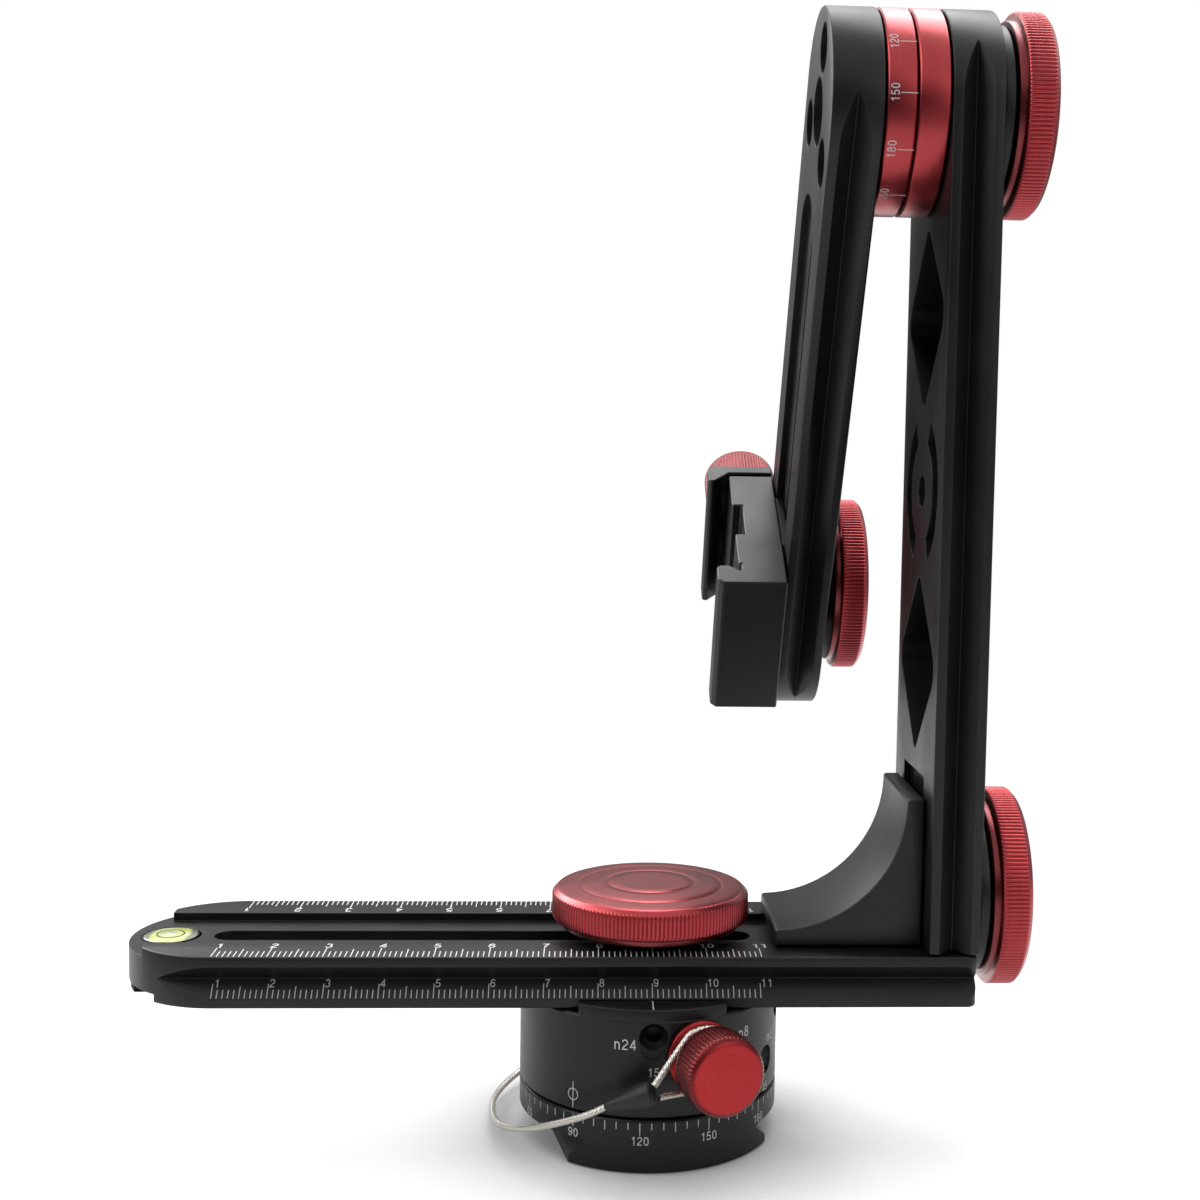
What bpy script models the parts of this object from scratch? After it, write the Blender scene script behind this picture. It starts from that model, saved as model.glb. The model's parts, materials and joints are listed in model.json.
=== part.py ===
"""A panoramic head for a camera: an indexed pan base, two grooved rails and a tilting camera arm.

Metres, +Z up. The origin is on the pan axis at the underside of the base. +X runs along the
horizontal rail towards the upright, and +Y points away from the index knob.
"""

import math

import bmesh
import bpy
from mathutils import Vector

# Shared values
GAP = 0.0003
EDGE = 0.0004
OVERRUN = 0.002
SMOOTH_ANGLE = math.radians(30)
BEVEL_ANGLE = math.radians(40)
MERGE = 1e-6
FULL_TURN = math.tau
KEY_CLEARANCE = 0.0003

# Facets
DRUM_SIDES = 44
KNOB_SIDES = 36
SMALL_KNOB_SIDES = 24
SMALL_SIDES = 20
SCREW_SIDES = 12
END_STEPS = 14

# Pan base with its dovetail foot
DRUM_RADIUS = 0.0249
BASE_HEIGHT = 0.0100
FOOT_WIDTH = 0.0380
FOOT_TURN = math.radians(12.5)
FOOT_LIP = 0.0018
FOOT_GROOVE_DEPTH = 0.0027
FOOT_GROOVE_TOP = 0.0052
BUSH_RADIUS = 0.0090
BUSH_BORE = 0.0048
BUSH_HEIGHT = 0.0050
BEARING_INNER = 0.0185
BEARING_OUTER = 0.0225
BEARING_THICKNESS = 0.0012
BEARING_GROOVE = 0.0008

# Spindle, detent ring and nut inside the drum
SPINDLE_RADIUS = 0.0050
SPINDLE_FLANGE_RADIUS = 0.0080
SPINDLE_FLANGE_HEIGHT = 0.0017
DETENT_RADIUS = 0.0165
DETENT_HEIGHT = 0.0140
DETENT_STOPS = 24
DETENT_FLUTE_DEPTH = 0.0011
DETENT_FLUTE_SHARE = 0.6
NUT_RADIUS = 0.0086
NUT_HEIGHT = 0.0030
THRUST_WASHER_HEIGHT = 0.0008

# Turning drum
BODY_HEIGHT = 0.0182
BODY_CAVITY_RADIUS = 0.0172
HUB_WALL = 0.0022
WEB_THICKNESS = 0.0039
HUB_FLOOR = 0.0047
CHEEK_RISE = 0.0019
CHEEK_HALF_LENGTH = 0.0135
CHEEK_RADIUS = 0.0248

# Index holes and the index knob
INDEX_HOLE_RADIUS = 0.0025
INDEX_HOLE_DEPTH = 0.0012
PIN_HOLE_RADIUS = 0.0014
PIN_HOLE_DEPTH = 0.0050
INDEX_HOLE_HEIGHT = 0.0253
INDEX_HOLE_TURNS = (math.radians(0.3), math.radians(56), math.radians(78))
INDEX_RELIEF_LENGTH = 0.0043
INDEX_RELIEF_DEPTH = 0.0006
INDEX_RELIEF_INSET = 0.0002
KNOB_TURN = math.radians(19.6)
KNOB_HEIGHT = 0.0220
KNOB_RADIUS = 0.0073
KNOB_FLANGE_RADIUS = 0.0065
KNOB_FLANGE = 0.0013
KNOB_NECK_RADIUS = 0.0046
KNOB_NECK = 0.0023
KNOB_HEAD = 0.0092
KNOB_TAPER_RADIUS = 0.0052
KNOB_TAPER = 0.0036
KNOB_BEVEL = 0.0007
KNOB_STANDOFF = 0.0005
SHANK_RADIUS = 0.0032
SHANK_LENGTH = 0.0066
PLUNGER_RADIUS = 0.0015
PLUNGER_HEAD_RADIUS = 0.0021
PLUNGER_HEAD = 0.0012
PLUNGER_BORE_DEPTH = 0.0095

# Lanyard
WIRE_RADIUS = 0.00065
SLEEVE_RADIUS = 0.0024
SLEEVE_TIP_RADIUS = 0.0011
LANYARD_SCREW_HEIGHT = 0.0150
LANYARD_SCREW_RADIUS = 0.0030
LANYARD_SCREW_HEAD = 0.0024
LANYARD_SCREW_SHANK = 0.0015
LANYARD_SCREW_LENGTH = 0.0060

# Horizontal rail, which shares its section with both arms
RAIL_WIDTH = 0.0380
RAIL_THICKNESS = 0.0096
GROOVE_DEPTH = 0.0030
CHANNEL_WIDTH = 0.0195
CHANNEL_DEPTH = 0.0016
SLOT_CLEARANCE = 0.0003
RAIL_END_CENTRE = -0.0800
RAIL_RIGHT_END = 0.0603
RAIL_SLOT_LEFT = -0.0804
RAIL_SLOT_RIGHT = 0.0164
TOP_RIM_START = -0.0937
BOTTOM_RIM_START = -0.0910

# Bubble level and end stop
LEVEL_X = -0.0916
LEVEL_RADIUS = 0.0053
LEVEL_VIAL_RADIUS = 0.0042
LEVEL_DEPTH = 0.0045
LEVEL_RISE = 0.0004
LEVEL_FLOOR = 0.0010
VIAL_DOME_SHARE = 0.55
STOP_RIGHT = -0.0922
STOP_HALF_WIDTH = 0.0093
STOP_THICKNESS = 0.0013

# Rail stud and the four large knobs
STUD_RADIUS = 0.0028
STUD_FLANGE_RADIUS = 0.0087
STUD_FLANGE_HEIGHT = 0.0042
STUD_REACH = 0.0055
GRIP_RADIUS = 0.0190
GRIP_FLANGE_RADIUS = 0.0173
GRIP_FLANGE = 0.0013
GRIP_RIM = 0.0049
GRIP_CROWN = 0.0018
GRIP_CROWN_STEP = 0.0010
GRIP_SHOULDER_RADIUS = 0.0180
GRIP_INLAY_RADIUS = 0.0083
GRIP_BORE_DEPTH = 0.0060
COLLAR_RADIUS = 0.0165
COLLAR_THICKNESS = 0.0022
SLOT_COLLAR_RADIUS = 0.0094
RAIL_COLLAR_THICKNESS = 0.0022
ARM_COLLAR_THICKNESS = 0.0028

# Corner bracket and its screws
BRACKET_LEFT = 0.0230
BRACKET_HALF_WIDTH = 0.0133
BRACKET_TOE = 0.0032
BRACKET_HEIGHT = 0.0280
BRACKET_TOP_WIDTH = 0.0033
BRACKET_BEVEL = 0.0006
BRACKET_ARC_STEPS = 12
BRACKET_SCREW_XS = (0.0300, 0.0430)
BRACKET_SCREW_RADIUS = 0.0020
BRACKET_SCREW_HEAD_RADIUS = 0.0036
BRACKET_SCREW_HEAD = 0.0028
BRACKET_SCREW_REACH = 0.0045
BRACKET_SCREW_DEPTH = 0.0040

# Upright
UPRIGHT_LEFT = 0.0510
UPRIGHT_CHANNEL_TOP = 0.0318
LOWER_KNOB_HEIGHT = 0.0088
LOWER_STUD_DEPTH = 0.0085
POCKET_DEPTH = 0.0038
DIAMOND_HEIGHTS = (0.1183, 0.0525)
DIAMOND_HALF_LENGTH = 0.0166
DIAMOND_HALF_WIDTH = 0.0155
DIAMOND_TIP_RADIUS = 0.0012
DIAMOND_SIDE_RADIUS = 0.0050
DIAMOND_ARC_STEPS = 4
MOTIF_HEIGHT = 0.0856
MOTIF_OUTER_RADIUS = 0.0148
MOTIF_INNER_RADIUS = 0.0098
MOTIF_ARC = math.radians(128)
MOTIF_STEPS = 12
MOTIF_HOLE_RADIUS = 0.0032

# Tilt drum
TILT_HEIGHT = 0.1565
TILT_RING_RADIUS = 0.0190
TILT_SPLIT = 0.0448
TILT_SPINDLE_RADIUS = 0.0050
TILT_BEARING_OUTER = 0.0150
TILT_BEARING_INNER = 0.0080
TILT_BEARING_THICKNESS = 0.0012
TILT_SPINDLE_HEAD_RADIUS = 0.0061
TILT_SPINDLE_HEAD = 0.0036
HEX_SHARE = 0.45
HEX_DEPTH_SHARE = 0.6
HUB_SCREW_CIRCLE = 0.0120
HUB_SCREW_TURNS = (0, FULL_TURN / 3, -FULL_TURN / 3)
HUB_SCREW_RADIUS = 0.0020
HUB_SCREW_HEAD_RADIUS = 0.0037
HUB_SCREW_HEAD = 0.0022
HUB_SCREW_REACH = 0.0038

# Camera arm
ARM_LEFT = 0.0293
ARM_LENGTH = 0.1195
ARM_SWING = math.radians(31.46)
ARM_CHANNEL_START = 0.0267
ARM_SLOT_START = 0.0275
ARM_SLOT_END = 0.1100
ARM_BORE_RADIUS = 0.0064
ARM_BORE_DEPTH = 0.0066
ARM_SCREW_CIRCLE = 0.0120
ARM_SCREW_HOLE_RADIUS = 0.0046
ARM_SCREW_HEAD_RADIUS = 0.0042
ARM_SCREW_HEAD = 0.0032
ARM_SCREW_RADIUS = 0.0024
ARM_SCREW_REACH = 0.0042
ARM_SCREW_TURNS = (FULL_TURN / 2, FULL_TURN / 6, -FULL_TURN / 6)

# Camera clamp
CLAMP_CENTRE = 0.1093
CLAMP_HALF_LENGTH = 0.0171
CLAMP_HEIGHT = 0.0147
SEAT_HEIGHT = 0.0100
JAW_OPENING = 0.0384
FLANK = 0.0020
FLANK_UNDERCUT = 0.0017
FIXED_JAW_THICKNESS = 0.0047
MOVING_JAW_THICKNESS = 0.0030
JAW_GAP = 0.0012
SEAT_RELIEF_WIDTH = 0.0113
SEAT_RELIEF_DEPTH = 0.0022
ROOT_RELIEF = 0.0006
JAW_LIP_SHARE = 0.6
CLAMP_CORNER = 0.0012
CLAMP_BOLT_HEAD_RADIUS = 0.0052
CLAMP_BOLT_HEAD = 0.0026
GUIDE_RADIUS = 0.0016
GUIDE_SPACING = 0.0220
GUIDE_LENGTH = 0.0160
JAW_SCREW_RADIUS = 0.0022
JAW_SCREW_LENGTH = 0.0150
JAW_AXIS_HEIGHT = 0.0050
CLAMP_KNOB_RADIUS = 0.0086
CLAMP_KNOB_NECK_RADIUS = 0.0050
CLAMP_KNOB_NECK = 0.0065
CLAMP_KNOB_LENGTH = 0.0147
CLAMP_KNOB_BEVEL = 0.0007

# The wire's own points, from the sleeve round the left of the drum to the screw at its back.
WIRE_POINTS = (
    (-0.0086, -0.0288, 0.0142),
    (-0.0130, -0.0284, 0.0122),
    (-0.0202, -0.0243, 0.0088),
    (-0.0250, -0.0182, 0.0060),
    (-0.0283, -0.0110, 0.0038),
    (-0.0300, -0.0030, 0.0026),
    (-0.0302, 0.0050, 0.0023),
    (-0.0282, 0.0130, 0.0024),
    (-0.0240, 0.0205, 0.0032),
    (-0.0180, 0.0262, 0.0052),
    (-0.0110, 0.0292, 0.0082),
    (-0.0060, 0.0292, 0.0118),
    (-0.0040, 0.0278, 0.0150),
)
SLEEVE_START = Vector((-0.0082, -0.0289, 0.0144))
SLEEVE_END = Vector((0.0010, -0.0310, 0.0180))
WIRE_SPACING = 0.0028
LOOP_RADIUS = KNOB_NECK_RADIUS + WIRE_RADIUS + GAP
LOOP_STEPS = 14
LOOP_START = math.radians(262)
LOOP_SWEEP = math.radians(230)
LOOP_SIDE_SHARE = 0.5
LOOP_SPACING_SHARE = 2.6
SLEEVE_SHOULDER_SHARE = 0.62

# Places worked out from the sizes above
BODY_BOTTOM = BASE_HEIGHT + GAP
BODY_TOP = BODY_BOTTOM + BODY_HEIGHT
RAIL_BOTTOM = BODY_TOP + GAP
RAIL_TOP = RAIL_BOTTOM + RAIL_THICKNESS
HUB_RADIUS = SPINDLE_FLANGE_RADIUS + HUB_WALL + EDGE
HUB_BOTTOM = BODY_BOTTOM + SPINDLE_FLANGE_HEIGHT + GAP
HUB_SHOULDER = HUB_BOTTOM + HUB_FLOOR
COUNTERBORE_RADIUS = STUD_FLANGE_RADIUS + GAP
SLOT_WIDTH = 2 * (STUD_RADIUS + SLOT_CLEARANCE)
UPRIGHT_RIGHT = UPRIGHT_LEFT + RAIL_THICKNESS
ARM_RIGHT = ARM_LEFT + RAIL_THICKNESS
TILT_Z = RAIL_TOP + TILT_HEIGHT


def clear_scene():
    for thing in list(bpy.data.objects):
        bpy.data.objects.remove(thing, do_unlink=True)


def make_material(name, colour, metallic, roughness):
    material = bpy.data.materials.new(name)
    material.use_nodes = True
    shader = material.node_tree.nodes["Principled BSDF"]
    shader.inputs["Base Color"].default_value = (*colour, 1)
    shader.inputs["Metallic"].default_value = metallic
    shader.inputs["Roughness"].default_value = roughness
    material.diffuse_color = (*colour, 1)
    return material


def make_materials():
    return {
        "black": make_material("black_anodised", (0.018, 0.018, 0.019), 0.6, 0.42),
        "red": make_material("red_anodised", (0.40, 0.022, 0.030), 0.8, 0.32),
        "steel": make_material("steel", (0.55, 0.55, 0.56), 1, 0.28),
        "brass": make_material("brass", (0.60, 0.42, 0.16), 1, 0.30),
        "polymer": make_material("bearing_polymer", (0.82, 0.80, 0.74), 0, 0.5),
        "rubber": make_material("black_sleeve", (0.015, 0.015, 0.015), 0, 0.6),
        "wire": make_material("braided_wire", (0.62, 0.62, 0.60), 1, 0.35),
        "fluid": make_material("level_fluid", (0.62, 0.80, 0.10), 0, 0.12),
    }


def empty(name, parent=None, location=(0, 0, 0), rotation=(0, 0, 0)):
    frame = bpy.data.objects.new(name, None)
    bpy.context.scene.collection.objects.link(frame)
    frame.parent = parent
    frame.location = location
    frame.rotation_euler = rotation
    return frame


def finish_mesh(bm, name, smooth=False):
    bmesh.ops.remove_doubles(bm, verts=bm.verts[:], dist=MERGE)
    bmesh.ops.recalc_face_normals(bm, faces=bm.faces[:])
    mesh = bpy.data.meshes.new(name)
    bm.to_mesh(mesh)
    bm.free()
    if smooth:
        mesh.shade_smooth()
        mesh.set_sharp_from_angle(angle=SMOOTH_ANGLE)
    return mesh


def place(name, mesh, material, parent=None, location=(0, 0, 0), rotation=(0, 0, 0)):
    thing = bpy.data.objects.new(name, mesh)
    bpy.context.scene.collection.objects.link(thing)
    thing.parent = parent
    thing.location = location
    thing.rotation_euler = rotation
    if material:
        mesh.materials.append(material)
    return thing


def turned(name, profile, sides):
    """A solid turned about its own Z axis from a closed run of (radius, height) points."""
    bm = bmesh.new()
    points = [bm.verts.new((radius, 0, height)) for radius, height in profile]
    for first, second in zip(points, points[1:] + points[:1]):
        if first.co.x > 0 or second.co.x > 0:
            bm.edges.new((first, second))
    bmesh.ops.spin(bm, geom=bm.verts[:] + bm.edges[:], cent=(0, 0, 0), axis=(0, 0, 1),
                   angle=FULL_TURN, steps=sides, use_merge=True)
    return finish_mesh(bm, name, smooth=True)


def prism(name, outline, low, high, plane="XY"):
    """An outline in one plane, carried from low to high along the plane's normal."""
    spots = {
        "XY": lambda a, b, d: (a, b, d),
        "YZ": lambda a, b, d: (d, a, b),
        "XZ": lambda a, b, d: (a, d, b),
    }
    bm = bmesh.new()
    spot = spots[plane]
    face = bm.faces.new([bm.verts.new(spot(a, b, low)) for a, b in outline])
    grown = bmesh.ops.extrude_face_region(bm, geom=[face])["geom"]
    raised = [item for item in grown if isinstance(item, bmesh.types.BMVert)]
    bmesh.ops.translate(bm, vec=spot(0, 0, high - low), verts=raised)
    return finish_mesh(bm, name)


def block(name, low, high):
    outline = [(low[0], low[1]), (high[0], low[1]), (high[0], high[1]), (low[0], high[1])]
    return prism(name, outline, low[2], high[2])


def arc(centre, radius, start, end, steps):
    turns = [start + (end - start) * step / steps for step in range(steps + 1)]
    return [(centre[0] + radius * math.cos(turn), centre[1] + radius * math.sin(turn)) for turn in turns]


def stadium(first, second, radius, steps=END_STEPS):
    """The outline of a slot whose end centres are first and second."""
    heading = math.atan2(second[1] - first[1], second[0] - first[0])
    quarter = FULL_TURN / 4
    far = arc(second, radius, heading - quarter, heading + quarter, steps)
    near = arc(first, radius, heading + quarter, heading + 3 * quarter, steps)
    return far + near


def bevelled(thing, width):
    modifier = thing.modifiers.new("Edges", "BEVEL")
    modifier.width = width
    modifier.segments = 1
    modifier.limit_method = "ANGLE"
    modifier.angle_limit = BEVEL_ANGLE
    return thing


def cut(target, mesh, location=(0, 0, 0), rotation=(0, 0, 0), operation="DIFFERENCE"):
    """Takes a mesh out of the target, or joins it on. The mesh is placed in the target's own frame."""
    cutter = place(mesh.name, mesh, None, target, location, rotation)
    cutter.hide_render = True
    cutter.display_type = "WIRE"
    modifier = target.modifiers.new(mesh.name, "BOOLEAN")
    modifier.operation = operation
    modifier.object = cutter


def bore(target, name, radius, low, high, sides, location=(0, 0, 0), rotation=(0, 0, 0)):
    mesh = turned(name, [(0, low), (radius, low), (radius, high), (0, high)], sides)
    cut(target, mesh, location, rotation)


ALONG_X = (0, FULL_TURN / 4, 0)
ALONG_Y = (-FULL_TURN / 4, 0, 0)
DOWN = (FULL_TURN / 2, 0, 0)
ALONG_MINUS_X = (0, -FULL_TURN / 4, 0)


def cap_screw(name, head_radius, head, shank_radius, reach, material, parent, location, rotation):
    """A socket screw: its head's underside is at zero, and the shank runs down from there."""
    socket = head_radius * HEX_SHARE
    profile = [
        (0, -reach),
        (shank_radius, -reach),
        (shank_radius, 0),
        (head_radius, 0),
        (head_radius, head - EDGE / 2),
        (head_radius - EDGE / 2, head),
        (0, head),
    ]
    screw = place(name, turned(name, profile, SCREW_SIDES), material, parent, location, rotation)
    bore(screw, name + "_socket", socket, head * (1 - HEX_DEPTH_SHARE), head + OVERRUN, 6)
    return screw


# Pan base

def build_base(look):
    bush_hole = BUSH_RADIUS + GAP
    bush_top = BUSH_HEIGHT + GAP
    spindle_hole = SPINDLE_RADIUS + GAP
    groove_floor = BASE_HEIGHT - BEARING_GROOVE - GAP
    profile = [
        (bush_hole, 0),
        (DRUM_RADIUS - EDGE, 0),
        (DRUM_RADIUS, EDGE),
        (DRUM_RADIUS, BASE_HEIGHT - EDGE),
        (DRUM_RADIUS - EDGE, BASE_HEIGHT),
        (BEARING_OUTER + GAP, BASE_HEIGHT),
        (BEARING_OUTER + GAP, groove_floor),
        (BEARING_INNER - GAP, groove_floor),
        (BEARING_INNER - GAP, BASE_HEIGHT),
        (spindle_hole, BASE_HEIGHT),
        (spindle_hole, bush_top),
        (bush_hole, bush_top),
    ]
    base = place("pan_base", turned("pan_base", profile, DRUM_SIDES), look["black"])
    half = FOOT_WIDTH / 2
    out = DRUM_RADIUS + OVERRUN
    rise = FOOT_GROOVE_TOP - FOOT_LIP - FOOT_GROOVE_DEPTH
    flank = [
        (half, -OVERRUN),
        (half, FOOT_LIP),
        (half - FOOT_GROOVE_DEPTH, FOOT_LIP + FOOT_GROOVE_DEPTH),
        (half - FOOT_GROOVE_DEPTH + rise, FOOT_GROOVE_TOP),
        (out, FOOT_GROOVE_TOP),
        (out, -OVERRUN),
    ]
    for side, turn in (("right", FOOT_TURN), ("left", FOOT_TURN + FULL_TURN / 2)):
        cut(base, prism("foot_flank_" + side, flank, -out, out, "XZ"), rotation=(0, 0, turn))
    return base


def build_base_inserts(look):
    bush = [
        (BUSH_BORE + EDGE, GAP),
        (BUSH_RADIUS, GAP),
        (BUSH_RADIUS, BUSH_HEIGHT),
        (BUSH_BORE, BUSH_HEIGHT),
        (BUSH_BORE, GAP + EDGE),
    ]
    place("tripod_bush", turned("tripod_bush", bush, SMALL_SIDES), look["steel"])
    low = BASE_HEIGHT - BEARING_GROOVE
    washer = [
        (BEARING_INNER, low),
        (BEARING_OUTER, low),
        (BEARING_OUTER, low + BEARING_THICKNESS),
        (BEARING_INNER, low + BEARING_THICKNESS),
    ]
    place("pan_bearing", turned("pan_bearing", washer, SMALL_KNOB_SIDES), look["polymer"])
    flange_top = BODY_BOTTOM + SPINDLE_FLANGE_HEIGHT
    nut_low = HUB_SHOULDER + GAP + THRUST_WASHER_HEIGHT + GAP
    spindle = [
        (0, BUSH_HEIGHT + GAP),
        (SPINDLE_RADIUS, BUSH_HEIGHT + GAP),
        (SPINDLE_RADIUS, BODY_BOTTOM),
        (SPINDLE_FLANGE_RADIUS, BODY_BOTTOM),
        (SPINDLE_FLANGE_RADIUS, flange_top),
        (SPINDLE_RADIUS, flange_top),
        (SPINDLE_RADIUS, nut_low + NUT_HEIGHT + EDGE),
        (0, nut_low + NUT_HEIGHT + EDGE),
    ]
    place("pan_spindle", turned("pan_spindle", spindle, SMALL_SIDES), look["steel"])
    thrust = [
        (SPINDLE_RADIUS + GAP, HUB_SHOULDER + GAP),
        (NUT_RADIUS, HUB_SHOULDER + GAP),
        (NUT_RADIUS, HUB_SHOULDER + GAP + THRUST_WASHER_HEIGHT),
        (SPINDLE_RADIUS + GAP, HUB_SHOULDER + GAP + THRUST_WASHER_HEIGHT),
    ]
    place("thrust_washer", turned("thrust_washer", thrust, SMALL_SIDES), look["brass"])
    hexagon = arc((0, 0), NUT_RADIUS, 0, FULL_TURN * 5 / 6, 5)
    nut = place("spindle_nut", prism("spindle_nut", hexagon, nut_low, nut_low + NUT_HEIGHT), look["steel"])
    bore(nut, "nut_hole", SPINDLE_RADIUS + GAP, nut_low - OVERRUN,
         nut_low + NUT_HEIGHT + OVERRUN, SMALL_SIDES)
    build_detent_ring(look)


def build_detent_ring(look):
    """A ring round the hub whose flutes give the index plunger its stops."""
    outline = []
    pitch = FULL_TURN / DETENT_STOPS
    half_flute = pitch * DETENT_FLUTE_SHARE / 2
    start = KNOB_TURN - FULL_TURN / 4
    for stop in range(DETENT_STOPS):
        middle = start + stop * pitch
        for turn, inset in ((-half_flute, 0), (0, DETENT_FLUTE_DEPTH), (half_flute, 0)):
            radius = DETENT_RADIUS - inset
            outline.append((radius * math.cos(middle + turn), radius * math.sin(middle + turn)))
    top = BODY_BOTTOM + DETENT_HEIGHT
    ring = place("detent_ring", prism("detent_ring", outline, BODY_BOTTOM, top), look["brass"])
    bore(ring, "detent_ring_hole", HUB_RADIUS + GAP, BODY_BOTTOM - OVERRUN, top + OVERRUN, KNOB_SIDES)


# Turning drum

def radial(turn, height):
    """The location and rotation that point a turned piece's Z axis out of the drum at this turn."""
    return (0, 0, height), (FULL_TURN / 4, 0, turn)


def build_drum(look, turntable):
    hub_bore = SPINDLE_RADIUS + GAP
    web_bottom = BODY_TOP - WEB_THICKNESS
    recess = BODY_BOTTOM + BEARING_THICKNESS - BEARING_GROOVE
    profile = [
        (BEARING_OUTER + GAP, BODY_BOTTOM),
        (DRUM_RADIUS - EDGE, BODY_BOTTOM),
        (DRUM_RADIUS, BODY_BOTTOM + EDGE),
        (DRUM_RADIUS, BODY_TOP - EDGE),
        (DRUM_RADIUS - EDGE, BODY_TOP),
        (COUNTERBORE_RADIUS, BODY_TOP),
        (COUNTERBORE_RADIUS, HUB_SHOULDER),
        (hub_bore, HUB_SHOULDER),
        (hub_bore, HUB_BOTTOM),
        (HUB_RADIUS, HUB_BOTTOM),
        (HUB_RADIUS, web_bottom),
        (BODY_CAVITY_RADIUS, web_bottom),
        (BODY_CAVITY_RADIUS, BODY_BOTTOM),
        (BEARING_INNER - GAP, BODY_BOTTOM),
        (BEARING_INNER - GAP, recess),
        (BEARING_OUTER + GAP, recess),
    ]
    drum = place("rotator_body", turned("rotator_body", profile, DRUM_SIDES), look["black"], turntable)
    add_cheeks(drum)
    for number, turn in enumerate(INDEX_HOLE_TURNS):
        location, rotation = radial(turn, INDEX_HOLE_HEIGHT)
        name = f"index_hole_{number}"
        bore(drum, name, INDEX_HOLE_RADIUS, DRUM_RADIUS - INDEX_HOLE_DEPTH, DRUM_RADIUS + OVERRUN,
             SCREW_SIDES, location, rotation)
        bore(drum, name + "_pin", PIN_HOLE_RADIUS, DRUM_RADIUS - PIN_HOLE_DEPTH, DRUM_RADIUS + OVERRUN,
             SCREW_SIDES, location, rotation)
    add_relief(drum)
    location, rotation = radial(KNOB_TURN, KNOB_HEIGHT)
    bore(drum, "knob_hole", SHANK_RADIUS + GAP, BODY_CAVITY_RADIUS - OVERRUN, DRUM_RADIUS + OVERRUN,
         SMALL_SIDES, location, rotation)
    location, rotation = radial(FULL_TURN / 2, LANYARD_SCREW_HEIGHT)
    bore(drum, "lanyard_screw_hole", LANYARD_SCREW_SHANK + GAP, DRUM_RADIUS - LANYARD_SCREW_LENGTH,
         DRUM_RADIUS + OVERRUN, SCREW_SIDES, location, rotation)
    return drum


def add_cheeks(drum):
    """Two low cheeks beside the rail keep it square on the drum. A wide rail makes each a plain segment."""
    inner = RAIL_WIDTH / 2 + GAP
    own_half_turn = math.asin(CHEEK_HALF_LENGTH / CHEEK_RADIUS)
    segment_half_turn = math.acos(inner / CHEEK_RADIUS)
    half_turn = min(own_half_turn, segment_half_turn)
    for side, middle in (("front", -FULL_TURN / 4), ("back", FULL_TURN / 4)):
        heading = math.copysign(1, middle)
        outline = arc((0, 0), CHEEK_RADIUS, middle - half_turn, middle + half_turn, END_STEPS // 2)
        if half_turn < segment_half_turn:
            outline += [(outline[-1][0], heading * inner), (outline[0][0], heading * inner)]
        mesh = prism("cheek_" + side, outline, BODY_TOP - WEB_THICKNESS / 2, BODY_TOP + CHEEK_RISE)
        cut(drum, mesh, operation="UNION")


def add_relief(drum):
    """The shallow upright pocket under the first index hole."""
    bottom = INDEX_HOLE_HEIGHT - INDEX_RELIEF_LENGTH
    radius = INDEX_HOLE_RADIUS - INDEX_RELIEF_INSET
    outline = stadium((0, bottom + radius), (0, INDEX_HOLE_HEIGHT), radius, SCREW_SIDES // 2)
    mesh = prism("index_relief", outline, -DRUM_RADIUS - OVERRUN, -DRUM_RADIUS + INDEX_RELIEF_DEPTH, "XZ")
    cut(drum, mesh, rotation=(0, 0, INDEX_HOLE_TURNS[0]))


def build_index_knob(look, knob_axis, plunger_axis):
    start = DRUM_RADIUS + KNOB_STANDOFF
    neck = start + KNOB_FLANGE
    head = neck + KNOB_NECK
    end = head + KNOB_HEAD
    plunger_bore = PLUNGER_RADIUS + GAP
    spring_bore = PLUNGER_HEAD_RADIUS + GAP
    inner_end = DRUM_RADIUS - SHANK_LENGTH
    profile = [
        (plunger_bore, inner_end),
        (SHANK_RADIUS, inner_end),
        (SHANK_RADIUS, start),
        (KNOB_FLANGE_RADIUS - EDGE, start),
        (KNOB_FLANGE_RADIUS, start + EDGE),
        (KNOB_FLANGE_RADIUS, neck - EDGE),
        (KNOB_FLANGE_RADIUS - EDGE, neck),
        (KNOB_NECK_RADIUS, neck),
        (KNOB_NECK_RADIUS, head),
        (KNOB_TAPER_RADIUS, head),
        (KNOB_RADIUS, head + KNOB_TAPER),
        (KNOB_RADIUS, end - KNOB_BEVEL),
        (KNOB_RADIUS - KNOB_BEVEL, end),
        (0, end),
        (0, inner_end + PLUNGER_BORE_DEPTH + PLUNGER_HEAD_RADIUS),
        (spring_bore, inner_end + PLUNGER_BORE_DEPTH + PLUNGER_HEAD_RADIUS),
        (spring_bore, inner_end + EDGE + PLUNGER_HEAD),
        (plunger_bore, inner_end + EDGE + PLUNGER_HEAD),
    ]
    place("index_knob", turned("index_knob", profile, SMALL_KNOB_SIDES), look["red"], knob_axis)
    build_plunger(look, plunger_axis, inner_end + EDGE + PLUNGER_HEAD + GAP)


def build_plunger(look, plunger_axis, collar):
    """The sprung pin inside the knob, whose point stands in one of the ring's flutes."""
    tip = DETENT_RADIUS - DETENT_FLUTE_DEPTH + GAP
    shoulder = tip + PLUNGER_RADIUS
    profile = [
        (0, tip),
        (PLUNGER_RADIUS, shoulder),
        (PLUNGER_RADIUS, collar),
        (PLUNGER_HEAD_RADIUS, collar),
        (PLUNGER_HEAD_RADIUS, collar + PLUNGER_HEAD),
        (0, collar + PLUNGER_HEAD),
    ]
    place("index_plunger", turned("index_plunger", profile, SCREW_SIDES), look["steel"], plunger_axis)


# Lanyard

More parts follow.
